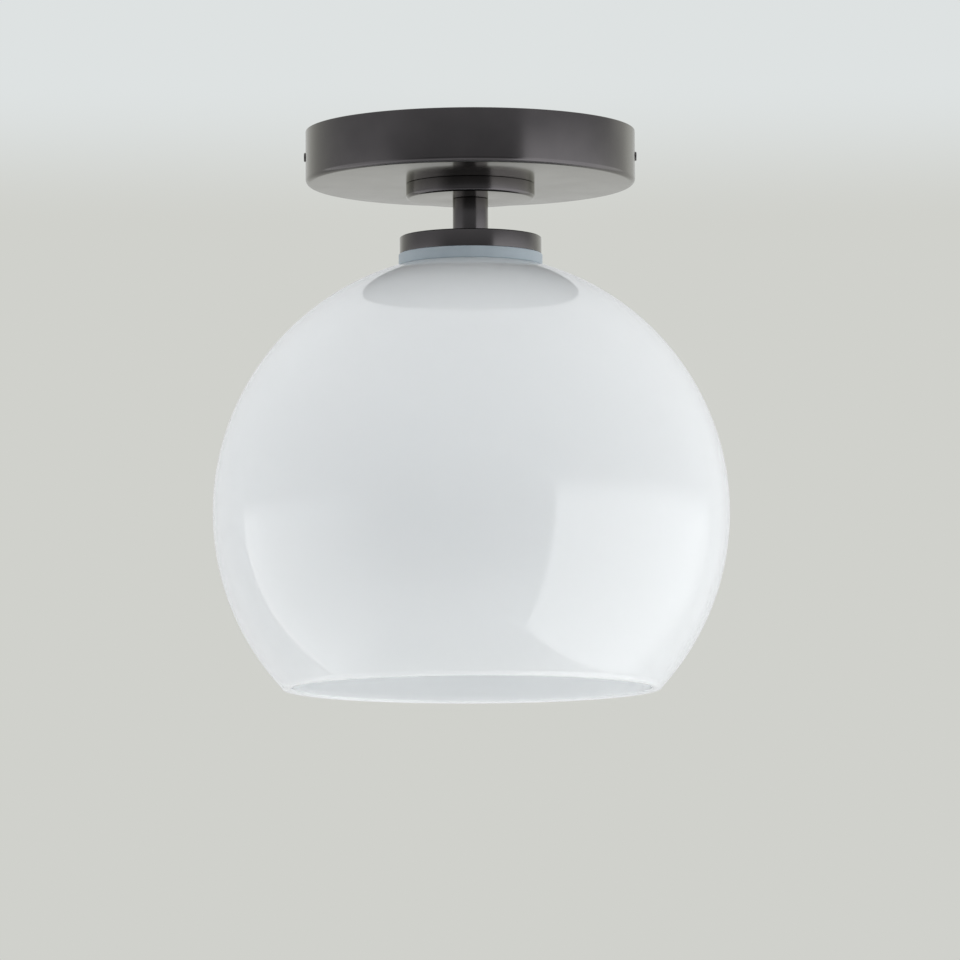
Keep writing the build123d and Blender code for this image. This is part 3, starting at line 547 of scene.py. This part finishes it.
class PolarTree(Nodes):
    """Geometry Nodes that repeat one copy round the light's axis."""

    def __init__(self) -> None:
        """Build the tree with its inputs Geometry, Copies and Finish."""
        super().__init__(bpy.data.node_groups.new("round_the_axis", "GeometryNodeTree"))
        face = self.tree.interface
        for name, kind in (("Geometry", "Geometry"), ("Copies", "Int"), ("Finish", "Material")):
            face.new_socket(name, in_out="INPUT", socket_type="NodeSocket" + kind)
        face.new_socket("Geometry", in_out="OUTPUT", socket_type="NodeSocketGeometry")
        given = self.add("NodeGroupInput").outputs
        points = self.add("GeometryNodeMeshLine", {"Offset": (0, 0, 0), "Count": given["Copies"]})
        index = self.add("GeometryNodeInputIndex")
        step = self.add("ShaderNodeMath", {0: 2 * pi, 1: given["Copies"]}, operation="DIVIDE")
        turn = self.add("ShaderNodeMath", {0: index.outputs["Index"], 1: step.outputs["Value"]},
                        operation="MULTIPLY")
        about = self.add("ShaderNodeCombineXYZ", {"Z": turn.outputs["Value"]})
        place = self.add("GeometryNodeInstanceOnPoints", {
            "Points": points.outputs["Mesh"], "Instance": given["Geometry"],
            "Rotation": about.outputs["Vector"],
        })
        real = self.add("GeometryNodeRealizeInstances", {"Geometry": place.outputs["Instances"]})
        paint = self.add("GeometryNodeSetMaterial", {
            "Geometry": real.outputs["Geometry"], "Material": given["Finish"],
        })
        self.add("NodeGroupOutput", {"Geometry": paint.outputs["Geometry"]})

    def repeat(self, one: bpy.types.Object, copies: int, finish: Finish) -> bpy.types.Object:
        """Repeat an object round the axis and bake the result.

        Args:
            one: the single copy, modelled where it stands.
            copies: how many there are in a full turn.
            finish: what they are made of.

        Returns:
            The same object, now with all its copies as a plain mesh.
        """
        modifier = one.modifiers.new(self.tree.name, "NODES")
        modifier.node_group = self.tree
        sockets = self.tree.interface.items_tree
        names = {socket.name: socket.identifier for socket in sockets if socket.in_out == "INPUT"}
        modifier[names["Copies"]] = copies
        modifier[names["Finish"]] = finish.material()
        return baked(one)


# What every sub-assembly does


class Assembly:
    """A group of pieces that are built, finished and settled on their bodies together."""

    def settle(self, piece: bpy.types.Object, finish: Finish, body: str, node: str) -> None:
        """Finish a new piece, let it ride on its body and take the place of a CAD node.

        Args:
            piece: the new piece.
            finish: its finish.
            body: the CAD body that it moves with.
            node: the CAD node that it stands for.
        """
        if not piece.data.materials:
            piece.data.materials.append(finish.material())
        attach(piece, body)
        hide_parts(node)
        log.info("%s: %d faces, %s, on %s", piece.name, len(piece.data.polygons), finish.slot, body)

    def dress(self, finish: Finish, *nodes: str) -> None:
        """Give CAD nodes, which stay as they are, their finish."""
        for node in nodes:
            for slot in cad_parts[node].material_slots:
                slot.material = finish.material()
            log.info("%s: CAD node, %s", node, finish.slot)


@dataclass
class Canopy(Assembly):
    """The pan on the ceiling with its bracket, its side screws and its ground screw."""

    wall: float = 1.2 * MM
    edge: float = 2.4 * MM
    rim_edge: float = 0.35 * MM
    pass_radius: float = 5.25 * MM
    screw_edge: float = 0.08 * MM
    bracket_edge: float = 0.35 * MM

    def build(self) -> None:
        """Make the pan's smooth shell and soften the pressed steel pieces."""
        pan = Extent.of("canopy")
        section = rounded([
            (pan.radius, pan.top),
            (pan.radius, pan.bottom, self.edge),
            (self.pass_radius, pan.bottom),
            (self.pass_radius, pan.bottom + self.wall),
            (pan.radius - self.wall, pan.bottom + self.wall, self.edge - self.wall),
            (pan.radius - self.wall, pan.top),
        ], self.rim_edge, steps=10)
        self.settle(lathe("canopy_pan", section, Sides.WIDE), BRONZE, "fixture", "canopy")
        screws = softened("canopy_screws", "side_screws", self.screw_edge)
        self.settle(screws, BRONZE, "fixture", "canopy_screws")
        bracket = softened("mounting_bracket", "pressed_bracket", self.bracket_edge)
        self.settle(bracket, STEEL, "fixture", "mounting_bracket")
        self.dress(GREEN, "ground_screw")


@dataclass
class Stem(Assembly):
    """The stack on the threaded nipple: bushing, nut, washer, collar, stem tube and cap."""

    nipple_bore: float = 3.5 * MM
    nipple_pitch: float = 1.0 * MM
    thread_depth: float = 0.45 * MM
    thread_rows: int = 8
    top_thread: float = 12 * MM
    bottom_thread: float = 9 * MM
    collar_edge: float = 1.6 * MM
    collar_wall: float = 3.0 * MM
    collar_recess: float = 4.5 * MM
    hub_radius: float = 12.0 * MM
    pass_radius: float = 5.25 * MM
    small_edge: float = 0.25 * MM
    cap_edge: float = 0.6 * MM
    cap_wall: float = 1.2 * MM
    washer_teeth: int = 12
    tooth_twist: float = radians(22)
    tooth_half: float = 0.8 * MM
    tooth_root: float = 0.86
    tooth_share: float = 0.55
    fine_edge: float = 0.12 * MM
    washer_ring: float = 7.0 * MM

    def nipple(self) -> bpy.types.Object:
        """Make the hollow nipple with the thread cut on both of its ends."""
        tube = Extent.of("threaded_nipple")
        spans = [
            (tube.top - self.small_edge, tube.top - self.top_thread),
            (tube.bottom + self.bottom_thread, tube.bottom + self.small_edge),
        ]
        step = self.nipple_pitch / self.thread_rows
        outside: list[Point] = []
        for high, low in spans:
            rows = int((high - low) / step)
            outside += [(tube.radius, high - (high - low) * row / rows) for row in range(rows + 1)]

        def groove(angle: float, radius: float, height: float) -> float:
            """Cut the thread where the two ends have it."""
            depth = 0.0
            for high, low in spans:
                if low <= height <= high and radius > self.nipple_bore + HAIR:
                    near_end = min(height - low, high - height) / self.nipple_pitch
                    phase = (height / self.nipple_pitch - angle / (2 * pi)) % 1.0
                    depth = -self.thread_depth * min(1.0, near_end) * (0.5 - 0.5 * cos(2 * pi * phase))
            return depth

        section = [
            (tube.radius - self.small_edge, tube.top), *outside,
            (tube.radius - self.small_edge, tube.bottom),
            (self.nipple_bore, tube.bottom), (self.nipple_bore, tube.top),
        ]
        return lathe("nipple_tube", section, Sides.NIPPLE, groove)

    def washer(self) -> bpy.types.Object:
        """Make the toothed lock washer, a ring with its teeth twisted out of plane."""
        plate = Extent.of("lock_washer")
        ring = lathe("washer_ring", rounded([
            (self.washer_ring, plate.top),
            (self.washer_ring, plate.bottom),
            (self.pass_radius, plate.bottom),
            (self.pass_radius, plate.top),
        ], self.small_edge / 2), Sides.WASHER)
        ring.data.materials.append(STEEL.material())
        thick = (plate.top - plate.bottom) * self.tooth_share
        middle = (plate.top + plate.bottom) / 2
        low = (self.washer_ring * self.tooth_root, -self.tooth_half, middle - thick / 2)
        high = (plate.radius, self.tooth_half, middle + thick / 2)
        tooth = block("washer_tooth", low, high, self.fine_edge)
        twist = Matrix.Translation((0, 0, middle)) @ Matrix.Rotation(self.tooth_twist, 4, "X")
        tooth.data.transform(twist @ Matrix.Translation((0, 0, -middle)))
        teeth = PolarTree().repeat(tooth, self.washer_teeth, STEEL)
        return joined("toothed_washer", [ring, teeth])

    def build(self) -> None:
        """Make the stack from the bushing down to the cap."""
        self.settle(self.nipple(), STEEL, "fixture", "threaded_nipple")
        self.settle(self.washer(), STEEL, "fixture", "lock_washer")
        self.settle(softened("locknut", "hexagon_nut", self.fine_edge), BRASS, "fixture", "locknut")
        self.dress(NYLON, "wire_bushing")
        disc = Extent.of("collar")
        section = rounded([
            (disc.radius, disc.top),
            (disc.radius, disc.bottom, self.collar_edge),
            (self.pass_radius, disc.bottom),
            (self.pass_radius, disc.top),
            (self.hub_radius, disc.top),
            (self.hub_radius, disc.top - self.collar_recess),
            (disc.radius - self.collar_wall, disc.top - self.collar_recess),
            (disc.radius - self.collar_wall, disc.top),
        ], self.small_edge, steps=10)
        self.settle(lathe("turned_collar", section, Sides.WIDE), BRONZE, "fixture", "collar")
        tube = Extent.of("stem_tube")
        section = rounded([
            (tube.radius, tube.top),
            (tube.radius, tube.bottom),
            (self.pass_radius, tube.bottom),
            (self.pass_radius, tube.top),
        ], self.small_edge)
        self.settle(lathe("stem_sleeve", section, Sides.STEM), BRONZE, "fixture", "stem_tube")
        cup = Extent.of("shade_cap")
        section = rounded([
            (cup.radius, cup.top, self.cap_edge),
            (cup.radius, cup.bottom),
            (cup.radius - self.cap_wall, cup.bottom),
            (cup.radius - self.cap_wall, cup.top - self.cap_wall),
            (self.pass_radius, cup.top - self.cap_wall),
            (self.pass_radius, cup.top),
        ], self.small_edge, steps=8)
        self.settle(lathe("pressed_cap", section, Sides.WIDE), BRONZE, "fixture", "shade_cap")


@dataclass
class Shade(Assembly):
    """The milk glass globe with the soft ring over it and the ring that clamps it from inside."""

    globe_wall: float = 3.5 * MM
    hole_radius: float = 21.0 * MM
    shoulder_edge: float = 0.5 * MM
    rim_edge: float = 1.5 * MM
    seat_bore: float = 23.0 * MM
    seat_edge: float = 0.5 * MM
    seat_lip: float = 3.0 * MM
    seat_lip_wall: float = 3.0 * MM
    cap_wall: float = 1.2 * MM
    lip_gap: float = 0.25 * MM
    washer_bore: float = 20.4 * MM
    flange: float = 2.4 * MM
    hub_radius: float = 22.5 * MM
    ring_bore: float = 19.88 * MM
    ring_edge: float = 0.6 * MM
    ribs: int = 24
    rib_radius: float = 1.2 * MM
    rib_edge: float = 0.54 * MM
    rib_sink: float = 0.2 * MM
    washer_edge: float = 0.2 * MM
    wall_steps: int = 120
    rim_steps: int = 12

    def globe(self) -> bpy.types.Object:
        """Make the blown globe as one closed wall with a fire-polished rim."""
        size = Extent.of("glass_shade")
        flat_radius = Extent.of("seat_ring").radius
        inner = size.radius - self.globe_wall
        centre = size.top - sqrt(size.radius**2 - flat_radius**2)
        mouth_angle = asin((size.bottom - centre) / size.radius)
        shoulder = asin((size.top - centre) / size.radius)
        inner_mouth = asin((size.bottom - centre) / inner)
        inner_shoulder = asin((size.top - self.globe_wall - centre) / inner)
        rim_turn = self.rim_edge / size.radius
        outside = arc((0, centre), size.radius, shoulder - self.shoulder_edge / size.radius * 2,
                      mouth_angle + rim_turn, self.wall_steps)
        inside = arc((0, centre), inner, inner_mouth + rim_turn, inner_shoulder, self.wall_steps)
        mouth_middle = (outside[-1][0] + inside[0][0]) / 2
        half = (outside[-1][0] - inside[0][0]) / 2
        lift = (outside[-1][1] + inside[0][1]) / 2
        drop = lift - size.bottom
        rim = [
            (mouth_middle + half * cos(angle), lift - drop * sin(angle))
            for angle in [pi * step / self.rim_steps for step in range(1, self.rim_steps)]
        ]
        neck = rounded([
            (self.hole_radius, size.top - self.globe_wall, self.shoulder_edge),
            (self.hole_radius, size.top, self.shoulder_edge),
            (flat_radius, size.top, self.shoulder_edge),
            outside[0],
        ])[:-1]
        return lathe("blown_globe", [*outside, *rim, *inside, *neck], Sides.WIDE)

    def seat(self) -> bpy.types.Object:
        """Make the soft ring whose lip centres it in the cap."""
        size = Extent.of("seat_ring")
        cap = Extent.of("shade_cap")
        ledge = cap.bottom
        lip = cap.radius - self.cap_wall - self.lip_gap
        section = rounded([
            (size.radius, ledge, self.seat_edge),
            (size.radius, size.bottom, self.seat_edge),
            (self.seat_bore, size.bottom, self.seat_edge),
            (self.seat_bore, ledge, self.seat_edge),
            (lip - self.seat_lip_wall, ledge),
            (lip - self.seat_lip_wall, size.top, self.seat_edge),
            (lip, size.top, self.seat_edge),
            (lip, ledge),
        ])
        return lathe("soft_seat", section, Sides.WIDE)

    def clamp(self) -> bpy.types.Object:
        """Make the threaded ring with its finger ribs."""
        size = Extent.of("shade_ring")
        step = size.top - self.flange
        section = rounded([
            (size.radius, size.top, self.ring_edge / 2),
            (size.radius, step, self.ring_edge),
            (self.hub_radius, step, self.ring_edge / 2),
            (self.hub_radius, size.bottom, self.ring_edge),
            (self.ring_bore, size.bottom, self.ring_edge),
            (self.ring_bore, size.top, self.ring_edge / 2),
        ])
        body = lathe("ring_body", section, Sides.RING)
        body.data.materials.append(PHENOLIC.material())
        rib = lathe("ring_rib", rounded([
            (0, step + self.rib_sink), (self.rib_radius, step + self.rib_sink),
            (self.rib_radius, size.bottom, self.rib_edge), (0, size.bottom),
        ]), Sides.SMALL)
        rib.data.transform(Matrix.Translation((self.hub_radius, 0, 0)))
        ribs = PolarTree().repeat(rib, self.ribs, PHENOLIC)
        return joined("ribbed_shade_ring", [body, ribs])

    def build(self) -> None:
        """Make the globe, its seat, its washer and its ring."""
        self.settle(self.globe(), GLASS, "shade", "glass_shade")
        self.settle(self.seat(), SILICONE, "fixture", "seat_ring")
        washer = Extent.of("ring_washer")
        section = rounded([
            (washer.radius, washer.top), (washer.radius, washer.bottom),
            (self.washer_bore, washer.bottom), (self.washer_bore, washer.top),
        ], self.washer_edge)
        self.settle(lathe("fibre_washer", section, Sides.RING), FIBRE, "shade", "ring_washer")
        self.settle(self.clamp(), PHENOLIC, "shade_ring", "shade_ring")


@dataclass
class Lampholder(Assembly):
    """The screw lampholder with its contacts."""

    cap_edge: float = 3.5 * MM
    cap_wall: float = 2.2 * MM
    boss_radius: float = 8.0 * MM
    boss_depth: float = 9.0 * MM
    thread_bore: float = 5.05 * MM
    barrel: float = 18.4 * MM
    thread_length: float = 14.6 * MM
    thread_pitch: float = 2.0 * MM
    thread_depth: float = 0.7 * MM
    thread_rows: int = 12
    bore: float = 15.2 * MM
    barrel_bore: float = 14.0 * MM
    mouth_bore: float = 16.2 * MM
    mouth_depth: float = 4.0 * MM
    shell_flange: float = 0.5 * MM
    spigot: float = 16.75 * MM
    small_edge: float = 0.3 * MM

    def body(self) -> bpy.types.Object:
        """Make the barrel, with the ring's thread cut round its upper part."""
        size = Extent.of("holder_body")
        seam = Extent.of("holder_cap").bottom
        ledge = Extent.of("screw_shell").top - self.shell_flange
        thread_end = seam - self.thread_length
        step = self.thread_pitch / self.thread_rows
        rows = int(self.thread_length / step)
        thread = [(size.radius, seam - self.thread_length * row / rows) for row in range(rows + 1)]
        first, last = thread[0][1] - self.small_edge, thread[-1][1] + self.small_edge

        def groove(angle: float, radius: float, height: float) -> float:
            """Cut the ring's thread between the two ends of the threaded part."""
            if radius < size.radius - HAIR or not last <= height <= first:
                return 0.0
            near_end = min(height - last, first - height) / self.thread_pitch
            phase = (height / self.thread_pitch - angle / (2 * pi)) % 1.0
            return -self.thread_depth * min(1.0, near_end) * (0.5 - 0.5 * cos(2 * pi * phase)) ** 1.5

        section = [
            (self.spigot, size.top), (self.spigot, seam), *thread,
            *rounded([
                (self.barrel, thread_end),
                (self.barrel, size.bottom, 2 * self.small_edge),
                (self.mouth_bore, size.bottom),
                (self.mouth_bore, size.bottom + self.mouth_depth),
                (self.barrel_bore, size.bottom + self.mouth_depth),
                (self.barrel_bore, ledge),
                (self.bore, ledge),
                (self.bore, size.top),
            ], self.small_edge),
        ]
        return lathe("threaded_holder", section, Sides.RING, groove)

    def build(self) -> None:
        """Make the cap and barrel, and dress the contacts inside."""
        cap = Extent.of("holder_cap")
        section = rounded([
            (cap.radius, cap.bottom),
            (cap.radius - self.cap_wall, cap.bottom),
            (cap.radius - self.cap_wall, cap.top - self.cap_wall),
            (self.boss_radius, cap.top - self.cap_wall),
            (self.boss_radius, cap.top - self.boss_depth),
            (self.thread_bore, cap.top - self.boss_depth),
            (self.thread_bore, cap.top),
            (cap.radius, cap.top, self.cap_edge),
        ], self.small_edge)
        self.settle(lathe("holder_dome", section, Sides.STEM), PHENOLIC, "fixture", "holder_cap")
        self.settle(self.body(), PHENOLIC, "fixture", "holder_body")
        self.dress(CERAMIC, "holder_insert")
        self.dress(NICKEL, "screw_shell", "contact_spring", "neutral_terminal", "terminal_screws")
        self.dress(BRASS, "line_terminal", "centre_contact")


@dataclass
class Bulb(Assembly):
    """The bulb: its screw cap, its moulded housing, its frosted dome and what they hold."""

    cap_wall: float = 1.2 * MM
    thread_pitch: float = 3.629 * MM
    thread_depth: float = 0.55 * MM
    thread_rows: int = 16
    neck_radius: float = 13.7 * MM
    neck_height: float = 4.0 * MM
    wall: float = 1.6 * MM
    seam_rise: float = 8.0 * MM
    dome_wall: float = 1.2 * MM
    seam_groove: float = 0.35 * MM
    plug_radius: float = 11.75 * MM
    plug_end: float = 1.2 * MM
    plug_hole: float = 3.0 * MM
    lip: float = 1.0 * MM
    lip_height: float = 1.2 * MM
    small_edge: float = 0.2 * MM
    diodes: int = 12
    diode_size: float = 3.0 * MM
    diode_circle: float = 17.0 * MM
    diode_skin: float = 0.15 * MM
    phosphor_radius: float = 1.1 * MM
    plain_turns: float = 0.6
    bell_pull: float = 1.1
    seam_gap: float = 0.1 * MM
    bell_steps: int = 40
    dome_steps: int = 48

    def screw_cap(self) -> bpy.types.Object:
        """Make the cap's rolled thread, with plain ends."""
        size = Extent.of("bulb_cap")
        step = self.thread_pitch / self.thread_rows
        plain = self.thread_pitch * self.plain_turns
        rows = int((size.top - size.bottom) / step)
        edge = self.cap_wall / 2
        outside = [
            (size.radius, size.top - edge - (size.top - size.bottom - edge) * row / rows)
            for row in range(rows + 1)
        ]
        inside = [(radius - self.cap_wall, height) for radius, height in reversed(outside)]

        def roll(angle: float, radius: float, height: float) -> float:
            """Press the rolled thread into the cap's wall."""
            near_end = min(height - size.bottom, size.top - height) / plain
            phase = (height / self.thread_pitch - angle / (2 * pi)) % 1.0
            fade = max(0.0, min(1.0, near_end - 0.5))
            return -self.thread_depth * fade * (0.5 - 0.5 * cos(2 * pi * phase))

        lip = arc((size.radius - edge, size.top - edge), edge, 0, pi, 6)
        return lathe("rolled_cap", [*outside, *inside, *reversed(lip)], Sides.CAP, roll)

    def housing(self) -> bpy.types.Object:
        """Make the bell of the housing, from the cap down to the seam."""
        size = Extent.of("bulb_housing")
        cap = Extent.of("bulb_cap")
        neck_bottom = cap.bottom - self.neck_height
        slope = Vector((self.seam_rise, -size.radius)).normalized()
        start, end = Vector((self.neck_radius, neck_bottom)), Vector((size.radius, size.bottom))
        reach = (end - start).length
        first, last = Vector((0, -1)) * reach * self.bell_pull, slope * reach * self.bell_pull
        outside = []
        for step in range(self.bell_steps + 1):
            t = step / self.bell_steps
            point = (start * (2 * t**3 - 3 * t**2 + 1) + first * (t**3 - 2 * t**2 + t)
                     + end * (3 * t**2 - 2 * t**3) + last * (t**3 - t**2))
            outside.append((point.x, point.y))
        seam = [(size.radius - self.seam_groove, size.bottom + self.seam_gap)]
        inside = [(radius - self.wall, height) for radius, height in reversed(outside)]
        inside[0] = (size.radius - self.wall, size.bottom + self.seam_gap)
        bore = self.neck_radius - self.wall
        plug = rounded([
            (bore, cap.bottom - self.lip_height), (bore - self.lip, cap.bottom - self.lip_height),
            (bore - self.lip, size.top - self.plug_end, self.small_edge),
            (self.plug_hole, size.top - self.plug_end, self.small_edge),
            (self.plug_hole, size.top, self.small_edge), (self.plug_radius, size.top, self.small_edge),
            (self.plug_radius, cap.bottom), (self.neck_radius, cap.bottom, self.small_edge), outside[0],
        ])[:-1]
        section = [*outside, *seam, *inside, *plug]
        return lathe("moulded_housing", section, Sides.BULB)

    def dome(self) -> bpy.types.Object:
        """Make the frosted dome, a part of a hollow ball."""
        size = Extent.of("bulb_diffuser")
        centre = size.bottom + size.radius
        rise = asin(self.seam_rise / size.radius)
        inner = size.radius - self.dome_wall
        outside = arc((0, centre), size.radius, rise, -pi / 2, self.dome_steps)
        inside = arc((0, centre), inner, -pi / 2, asin(self.seam_rise / inner), self.dome_steps)
        outside[-1] = (0.0, size.bottom)
        inside[0] = (0.0, size.bottom + self.dome_wall)
        return lathe("frosted_dome", [*outside, *inside], Sides.BULB)

    def lights(self) -> bpy.types.Object:
        """Make the diodes, each a white package with a disc of phosphor."""
        low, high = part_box("leds")
        half = self.diode_size / 2
        out = self.diode_circle
        skin = self.diode_skin
        corners = (out - half, -half, low[2] + skin), (out + half, half, high[2])
        package = block("diode_package", *corners, skin)
        packages = PolarTree().repeat(package, self.diodes, BOARD_WHITE)
        disc = lathe("diode_disc", rounded([
            (0, low[2] + 2 * skin), (self.phosphor_radius, low[2] + 2 * skin),
            (self.phosphor_radius, low[2], skin), (0, low[2]),
        ]), Sides.SMALL)
        disc.data.transform(Matrix.Translation((out, 0, 0)))
        discs = PolarTree().repeat(disc, self.diodes, PHOSPHOR)
        return joined("ring_of_diodes", [packages, discs])

    def build(self) -> None:
        """Make the bulb from its tip to its dome."""
        self.dress(TIN, "bulb_tip_contact")
        self.dress(BLACK_GLASS, "bulb_insulator")
        self.settle(self.screw_cap(), NICKEL, "bulb", "bulb_cap")
        self.settle(self.housing(), BULB_WHITE, "bulb", "bulb_housing")
        self.settle(self.dome(), FROST, "bulb", "bulb_diffuser")
        self.dress(BOARD_WHITE, "led_board")
        self.settle(self.lights(), PHOSPHOR, "bulb", "leds")
        self.dress(BOARD_GREEN, "bulb_driver")


@dataclass
class Wiring(Assembly):
    """The three leads and the nuts on their ends."""

    def build(self) -> None:
        """Dress the leads and the nuts."""
        self.dress(WIRE_BLACK, "live_lead")
        self.dress(WIRE_WHITE, "neutral_lead")
        self.dress(COPPER, "ground_lead")
        self.dress(NUT_ORANGE, "wire_nuts")


# The studio


@dataclass(frozen=True)
class Patch:
    """A flat patch on a far wall, brighter or darker than the room.

    Its wall faces a bearing in degrees: 0 is behind the camera, 90 is to the right. Its sides are slopes
    from the light's middle: left and right are across, bottom and top are up, and soft is how far each of
    the four fades inwards. Shine is what a reflection shows of it, and light is what it adds to the soft
    light.
    """

    bearing: float
    across: tuple[float, float]
    up: tuple[float, float]
    soft: tuple[float, float, float, float]
    shine: float
    light: float


class Sky(Nodes):
    """The world: a pale room over a paler floor, with two broad windows, a dim end behind the camera
    and a plain background."""

    left_window = Patch(-80, (-0.93, 1.3), (-1.6, 0.12), (0.06, 2.1, 0.5, 0.12), 0.95, 0.35)
    right_window = Patch(67, (-0.59, 2.9), (-1.69, 0.25), (0.06, 3.0, 0.12, 0.25), 1.8, 0.72)
    back_right_window = Patch(135, (-0.5, 0.45), (-2.0, 0.8), (0.3, 0.3, 1.0, 0.6), 0.2, 0.2)
    dim_end = Patch(-5, (-1.7, 0.88), (-1.0, 0.45), (1.1, 0.06, 0.6, 0.6), -0.5, -0.42)
    far_wall = Patch(180, (-1.7, 1.7), (-1.5, 1.5), (0.8, 0.8, 0.8, 0.8), -0.08, -0.05)
    least_depth = 0.02
    room: Colour = (0.985, 1.0, 1.01)
    room_level = 0.81
    floor_level = 1.08
    floor_from = -0.35
    floor_to = -0.85
    ceiling_level = 0.30
    ceiling_from = 0.2
    ceiling_to = 0.8
    background_low: Colour = (0.631, 0.638, 0.604)
    background_high: Colour = (0.730, 0.761, 0.761)
    background_from = radians(7.7)
    background_to = radians(8.8)

    def __init__(self) -> None:
        """Start an empty world."""
        world = bpy.data.worlds.new("room")
        bpy.context.scene.world = world
        world.use_nodes = True
        super().__init__(world.node_tree)
        heading = self.add("ShaderNodeTexCoord").outputs["Generated"]
        parted = self.add("ShaderNodeSeparateXYZ", {"Vector": heading})
        self.x, self.y, self.z = (parted.outputs[axis] for axis in "XYZ")

    def math(self, operation: str, *values: object) -> Socket:
        """Work out an operation on sockets or numbers."""
        return self.add("ShaderNodeMath", dict(enumerate(values)), operation=operation).outputs["Value"]

    def ramp(self, value: Socket, start: float, end: float, low: float = 0.0, high: float = 1.0) -> Socket:
        """Go smoothly from low at start to high at end, where end may be below start."""
        if start > end:
            start, end, low, high = end, start, high, low
        feeds = {"Value": value, "From Min": start, "From Max": end, "To Min": low, "To Max": high}
        return self.add("ShaderNodeMapRange", feeds, interpolation_type="SMOOTHSTEP").outputs["Result"]

    def build(self) -> None:
        """Lay out the room's light by direction, and the background that the camera sees."""
        path = self.add("ShaderNodeLightPath").outputs
        level = self.math(
            "ADD", self.ramp(self.z, self.floor_from, self.floor_to, self.room_level, self.floor_level),
            self.ramp(self.z, self.ceiling_from, self.ceiling_to, 0, self.ceiling_level))
        patches = (self.left_window, self.right_window, self.back_right_window, self.dim_end, self.far_wall)
        for patch in patches:
            strength = self.ramp(path["Is Glossy Ray"], 0, 1, patch.light, patch.shine)
            level = self.math("MULTIPLY_ADD", self.cover(patch), strength, level)
        lit = self.add("ShaderNodeVectorMath", {0: self.room, "Scale": level}, operation="SCALE")
        rise = self.ramp(self.math("ARCSINE", self.z), self.background_from, self.background_to)
        pick = self.add("ShaderNodeMix", {
            "Factor": path["Is Camera Ray"], "A": lit.outputs["Vector"],
            "B": self.mix(rise, self.background_low, self.background_high),
        }, data_type="RGBA")
        emit = self.add("ShaderNodeBackground", {"Color": pick.outputs["Result"]})
        self.add("ShaderNodeOutputWorld", {"Surface": emit.outputs["Background"]})

    def blend(self, first: float, second: float) -> Socket:
        """Give how far a direction goes along a flat vector, by the vector's X and Y."""
        return self.math("ADD", self.math("MULTIPLY", self.x, first), self.math("MULTIPLY", self.y, second))

    def cover(self, patch: Patch) -> Socket:
        """Say how far inside one patch a direction is, from 0 to 1, by where it crosses its wall."""
        turn = radians(patch.bearing)
        depth = self.blend(sin(turn), -cos(turn))
        ahead = self.math("MAXIMUM", depth, self.least_depth)
        inside = self.math("GREATER_THAN", depth, self.least_depth)
        across = self.math("DIVIDE", self.blend(cos(turn), sin(turn)), ahead)
        up = self.math("DIVIDE", self.z, ahead)
        (left, right), (bottom, top) = patch.across, patch.up
        soft_left, soft_right, soft_bottom, soft_top = patch.soft
        for side in (
            self.ramp(across, left, left + soft_left),
            self.ramp(across, right, right - soft_right),
            self.ramp(up, bottom, bottom + soft_bottom),
            self.ramp(up, top, top - soft_top),
        ):
            inside = self.math("MULTIPLY", inside, side)
        return inside


@dataclass
class Studio:
    """The camera at the photograph's place, the room's light and a plain floor far below."""

    camera_place: Place = (0.0042, -3.776, -0.5586)
    camera_pitch: float = radians(95.872)
    camera_roll: float = radians(-0.2)
    lens: float = 294.2
    sensor: float = 36.0
    floor_level: float = -4.0
    floor_radius: float = 2.4
    floor_sides: int = 96
    clip_end: float = 200.0
    floor_fade: float = 0.9
    floor_grain: float = 0.6
    floor_shade: float = 0.98
    floor_roughness: float = 0.7
    floor_specular: float = 0.2
    floor_colour: Colour = (0.86, 0.87, 0.83)

    def camera(self) -> None:
        """Set up the camera."""
        data = bpy.data.cameras.new("camera")
        data.lens = self.lens
        data.sensor_width = self.sensor
        data.clip_end = self.clip_end
        made = bpy.data.objects.new("camera", data)
        pitch = Matrix.Rotation(self.camera_pitch, 4, "X")
        roll = Matrix.Rotation(self.camera_roll, 4, "Z")
        made.matrix_world = Matrix.Translation(self.camera_place) @ pitch @ roll
        bpy.context.scene.collection.objects.link(made)
        bpy.context.scene.camera = made

    def floor(self) -> None:
        """Lay the plain floor, a pale disc that keeps the light's shadow and fades out at its edge."""
        built = bmesh.new()
        bmesh.ops.create_circle(built, cap_ends=True, segments=self.floor_sides, radius=self.floor_radius)
        bmesh.ops.translate(built, vec=(0, 0, self.floor_level), verts=built.verts)
        made = finished("plain_floor", built)
        shader = Shader("plain_floor")
        lower = tuple(self.floor_shade * part for part in self.floor_colour)
        clouds = shader.noise(self.floor_grain, shader.relief_detail)
        shader.feed(shader.mix(clouds, lower, self.floor_colour), "Base Color")
        shader.put(Roughness=self.floor_roughness, Specular_IOR_Level=self.floor_specular)
        fade = shader.add("ShaderNodeMapRange", {
            "Value": shader.reach(), "From Min": self.floor_radius,
            "From Max": self.floor_radius - self.floor_fade,
        })
        shader.feed(fade.outputs["Result"], "Alpha")
        made.data.materials.append(shader.material)

    def build(self) -> None:
        """Set up the camera, the room and the floor."""
        self.camera()
        Sky().build()
        self.floor()
        bpy.context.scene.view_settings.view_transform = "Standard"


def main() -> None:
    """Build every sub-assembly in order, from the ceiling down, then the studio."""
    logging.basicConfig(level=logging.INFO, format="%(message)s")
    for assembly in (Canopy(), Stem(), Shade(), Lampholder(), Bulb(), Wiring()):
        log.info("%s", type(assembly).__doc__)
        assembly.build()
    Studio().build()


if __name__ == "__main__":
    main()
